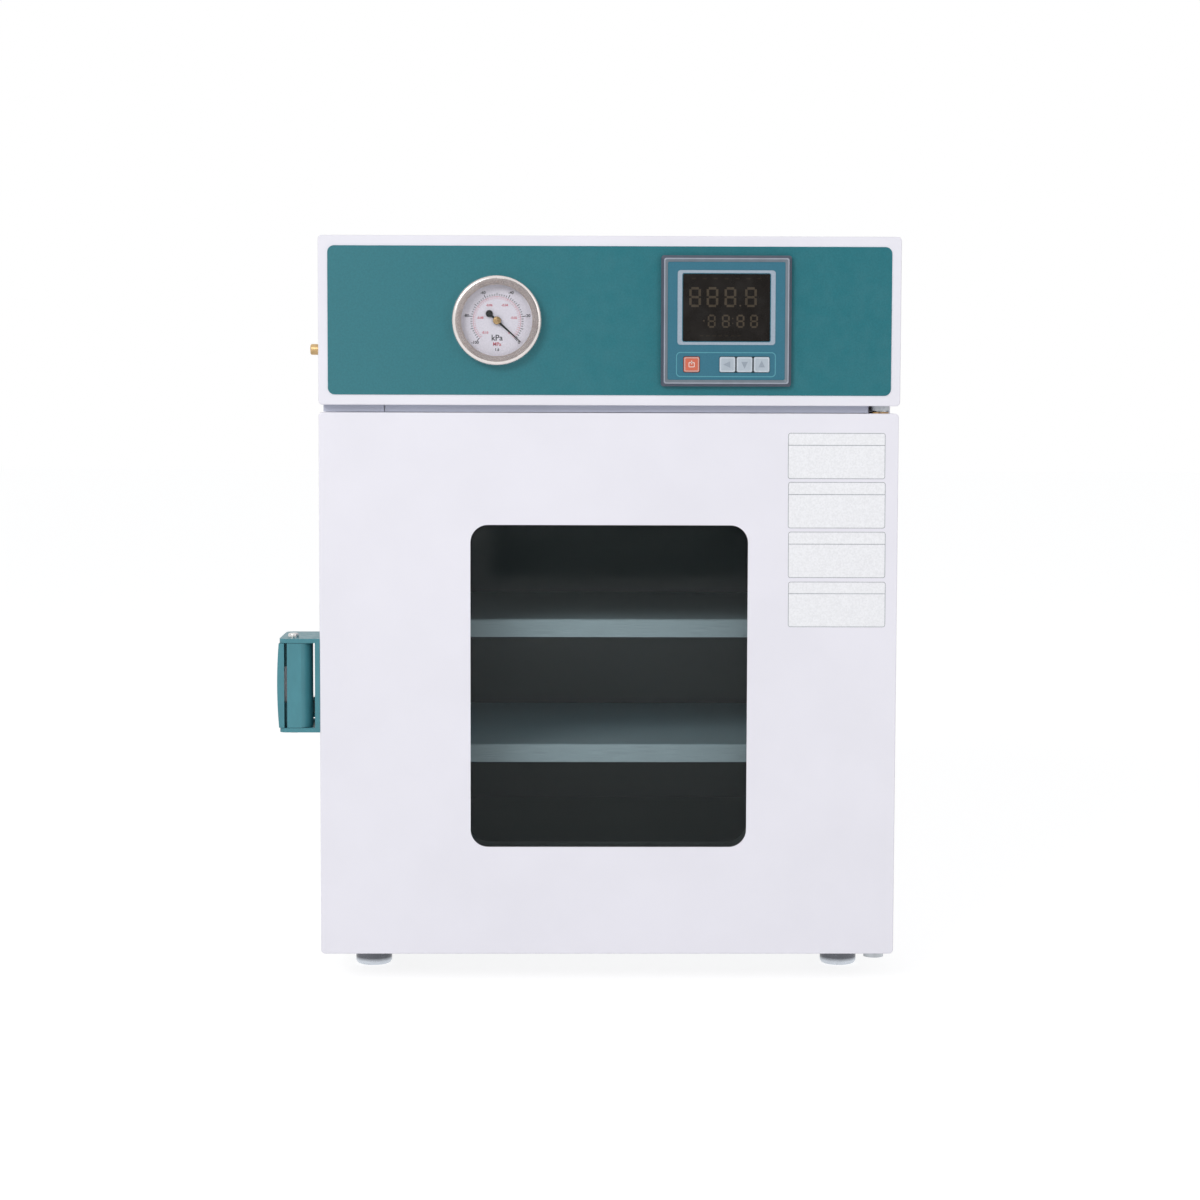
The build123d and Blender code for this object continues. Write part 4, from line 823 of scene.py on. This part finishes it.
def key_print():
    """A rim and a mark on each key."""
    front = key_face - print_thickness
    for key in ("power", "shift", "down", "up"):
        x, z = key_middle(f"{key}_key")
        rim = bmesh.new()
        outer = rounded_outline(x, z, 10.8, 10.4, 1.0)
        inner = rounded_outline(x, z, 9.4, 9.0, 0.7)
        add_ring(rim, outer, inner, front, key_face)
        slot, ink = ("key_red", key_rim_red) if key == "power" else ("key_grey", key_rim_grey)
        add_piece(f"{key}_key_rim", rim, f"{key}_button", ink)
        mark = bmesh.new()
        if key == "power":
            outer = rounded_outline(x, z - 0.2, 4.6, 3.8, 0.8)
            inner = rounded_outline(x, z - 0.2, 3.4, 2.6, 0.4)
            add_ring(mark, outer, inner, front, key_face)
            add_bar(mark, (x, z), (x, z + 2.8), 0.7, front, key_face)
        else:
            turn = {"shift": 180, "down": -90, "up": 90}[key]
            corners = [math.radians(turn + a) for a in (0, 130, 230)]
            outline = [(x + 3.1 * math.cos(a), z + 3.1 * math.sin(a)) for a in corners]
            add_prism(mark, outline, front, key_face)
        ink = key_mark if key == "power" else arrow_mark
        add_piece(f"{key}_key_mark", mark, f"{key}_button", ink)


# Feet
def turned_feet():
    """Four straight-sided plated feet with a small round at the bottom."""
    low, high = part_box("feet")
    profile = foot_profile + ((foot_top_radius, high.z / mm - stud_length),)
    form = bmesh.new()
    for x in (low.x / mm + foot_radius, high.x / mm - foot_radius):
        for y in (low.y / mm + foot_radius, high.y / mm - foot_radius):
            loops = []
            for radius, z in profile:
                ring = round_outline(x, y, radius, foot_steps)
                loops.append([form.verts.new((px * mm, py * mm, z * mm)) for px, py in ring])
            add_turned(form, loops)
    # The feet's pale and dark colours are a painted reflection, not the plating's own colour.
    finish = foot_plating_painted_reflection("foot_plating_painted_reflection", colour(104, 106, 112), colour(214, 220, 228))
    piece = add_piece("turned_feet", form, "cabinet", finish)
    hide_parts("feet", "foot_pads")


# Gap above the door
# Painted shade: the strip is greyer than the white enamel, for the shade in the gap above the door.
strip_shade_grey = powder_coat("strip_painted_shade", colour(196, 200, 214))


def gap_strip():
    """A narrow turned-down strip under the control housing that closes the gap above the door; its grey is
    painted shade in the gap.
    """
    low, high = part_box("control_housing")
    top = low.z / mm
    bottom = top - strip_height
    left = low.x / mm + strip_end
    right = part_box("hinge_bushes")[0].x / mm - strip_hinge_gap
    front = door_face + strip_setback
    form = bmesh.new()
    joint = left + strip_joint
    for x0, x1 in ((left, joint), (joint + strip_joint_gap, right)):
        outline = [(x0, bottom), (x1, bottom), (x1, top), (x0, top)]
        add_prism(form, outline, front, front + strip_thickness)
    add_piece("gap_strip", form, "cabinet", strip_shade_grey)


# Door
plate_white = printed_film("plate_white", colour(241, 241, 244))
plate_line = printed_film("plate_line", colour(150, 152, 160))


def blank_plates():
    """Four stuck-on plates with nothing on them but an outline and a rule."""
    sheet = bmesh.new()
    line = bmesh.new()
    face = door_face
    door_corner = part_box("door_shell")[1] / mm
    for i, (drop, height, rule_drop) in enumerate(plates):
        left = door_corner.x - plate_inset + i * plate_drift
        width = plate_width + i * plate_growth
        right = left + width
        top = door_corner.z - drop
        rule = top - rule_drop
        x, z = (left + right) / 2, top - height / 2
        add_prism(sheet, rounded_outline(x, z, width, height, 2.0), face - 0.15, face)
        outer = rounded_outline(x, z, width - 0.4, height - 0.4, 1.8)
        inner = rounded_outline(x, z, width - 1.2, height - 1.2, 1.4)
        add_ring(line, outer, inner, face - 0.2, face - 0.15)
        add_bar(line, (left + 0.6, rule), (right - 0.6, rule), 0.45, face - 0.2, face - 0.15)
    add_piece("blank_plates", sheet, "door", plate_white)
    add_piece("plate_lines", line, "door", plate_line)


bpy.context.scene.view_settings.view_transform = "Standard"
add_camera()
light_the_world()
add_floor()
for lamp_name, settings in lamps.items():
    add_lamp(lamp_name, **settings)
add_dark_card("dark_behind_camera", width=5.0, height=3.0, **dark_card)
dress_frame()
dial_print()
pointer_hub()
display_print()
chamfered_bezel()
face_print()
key_print()
gap_strip()
turned_feet()
blank_plates()
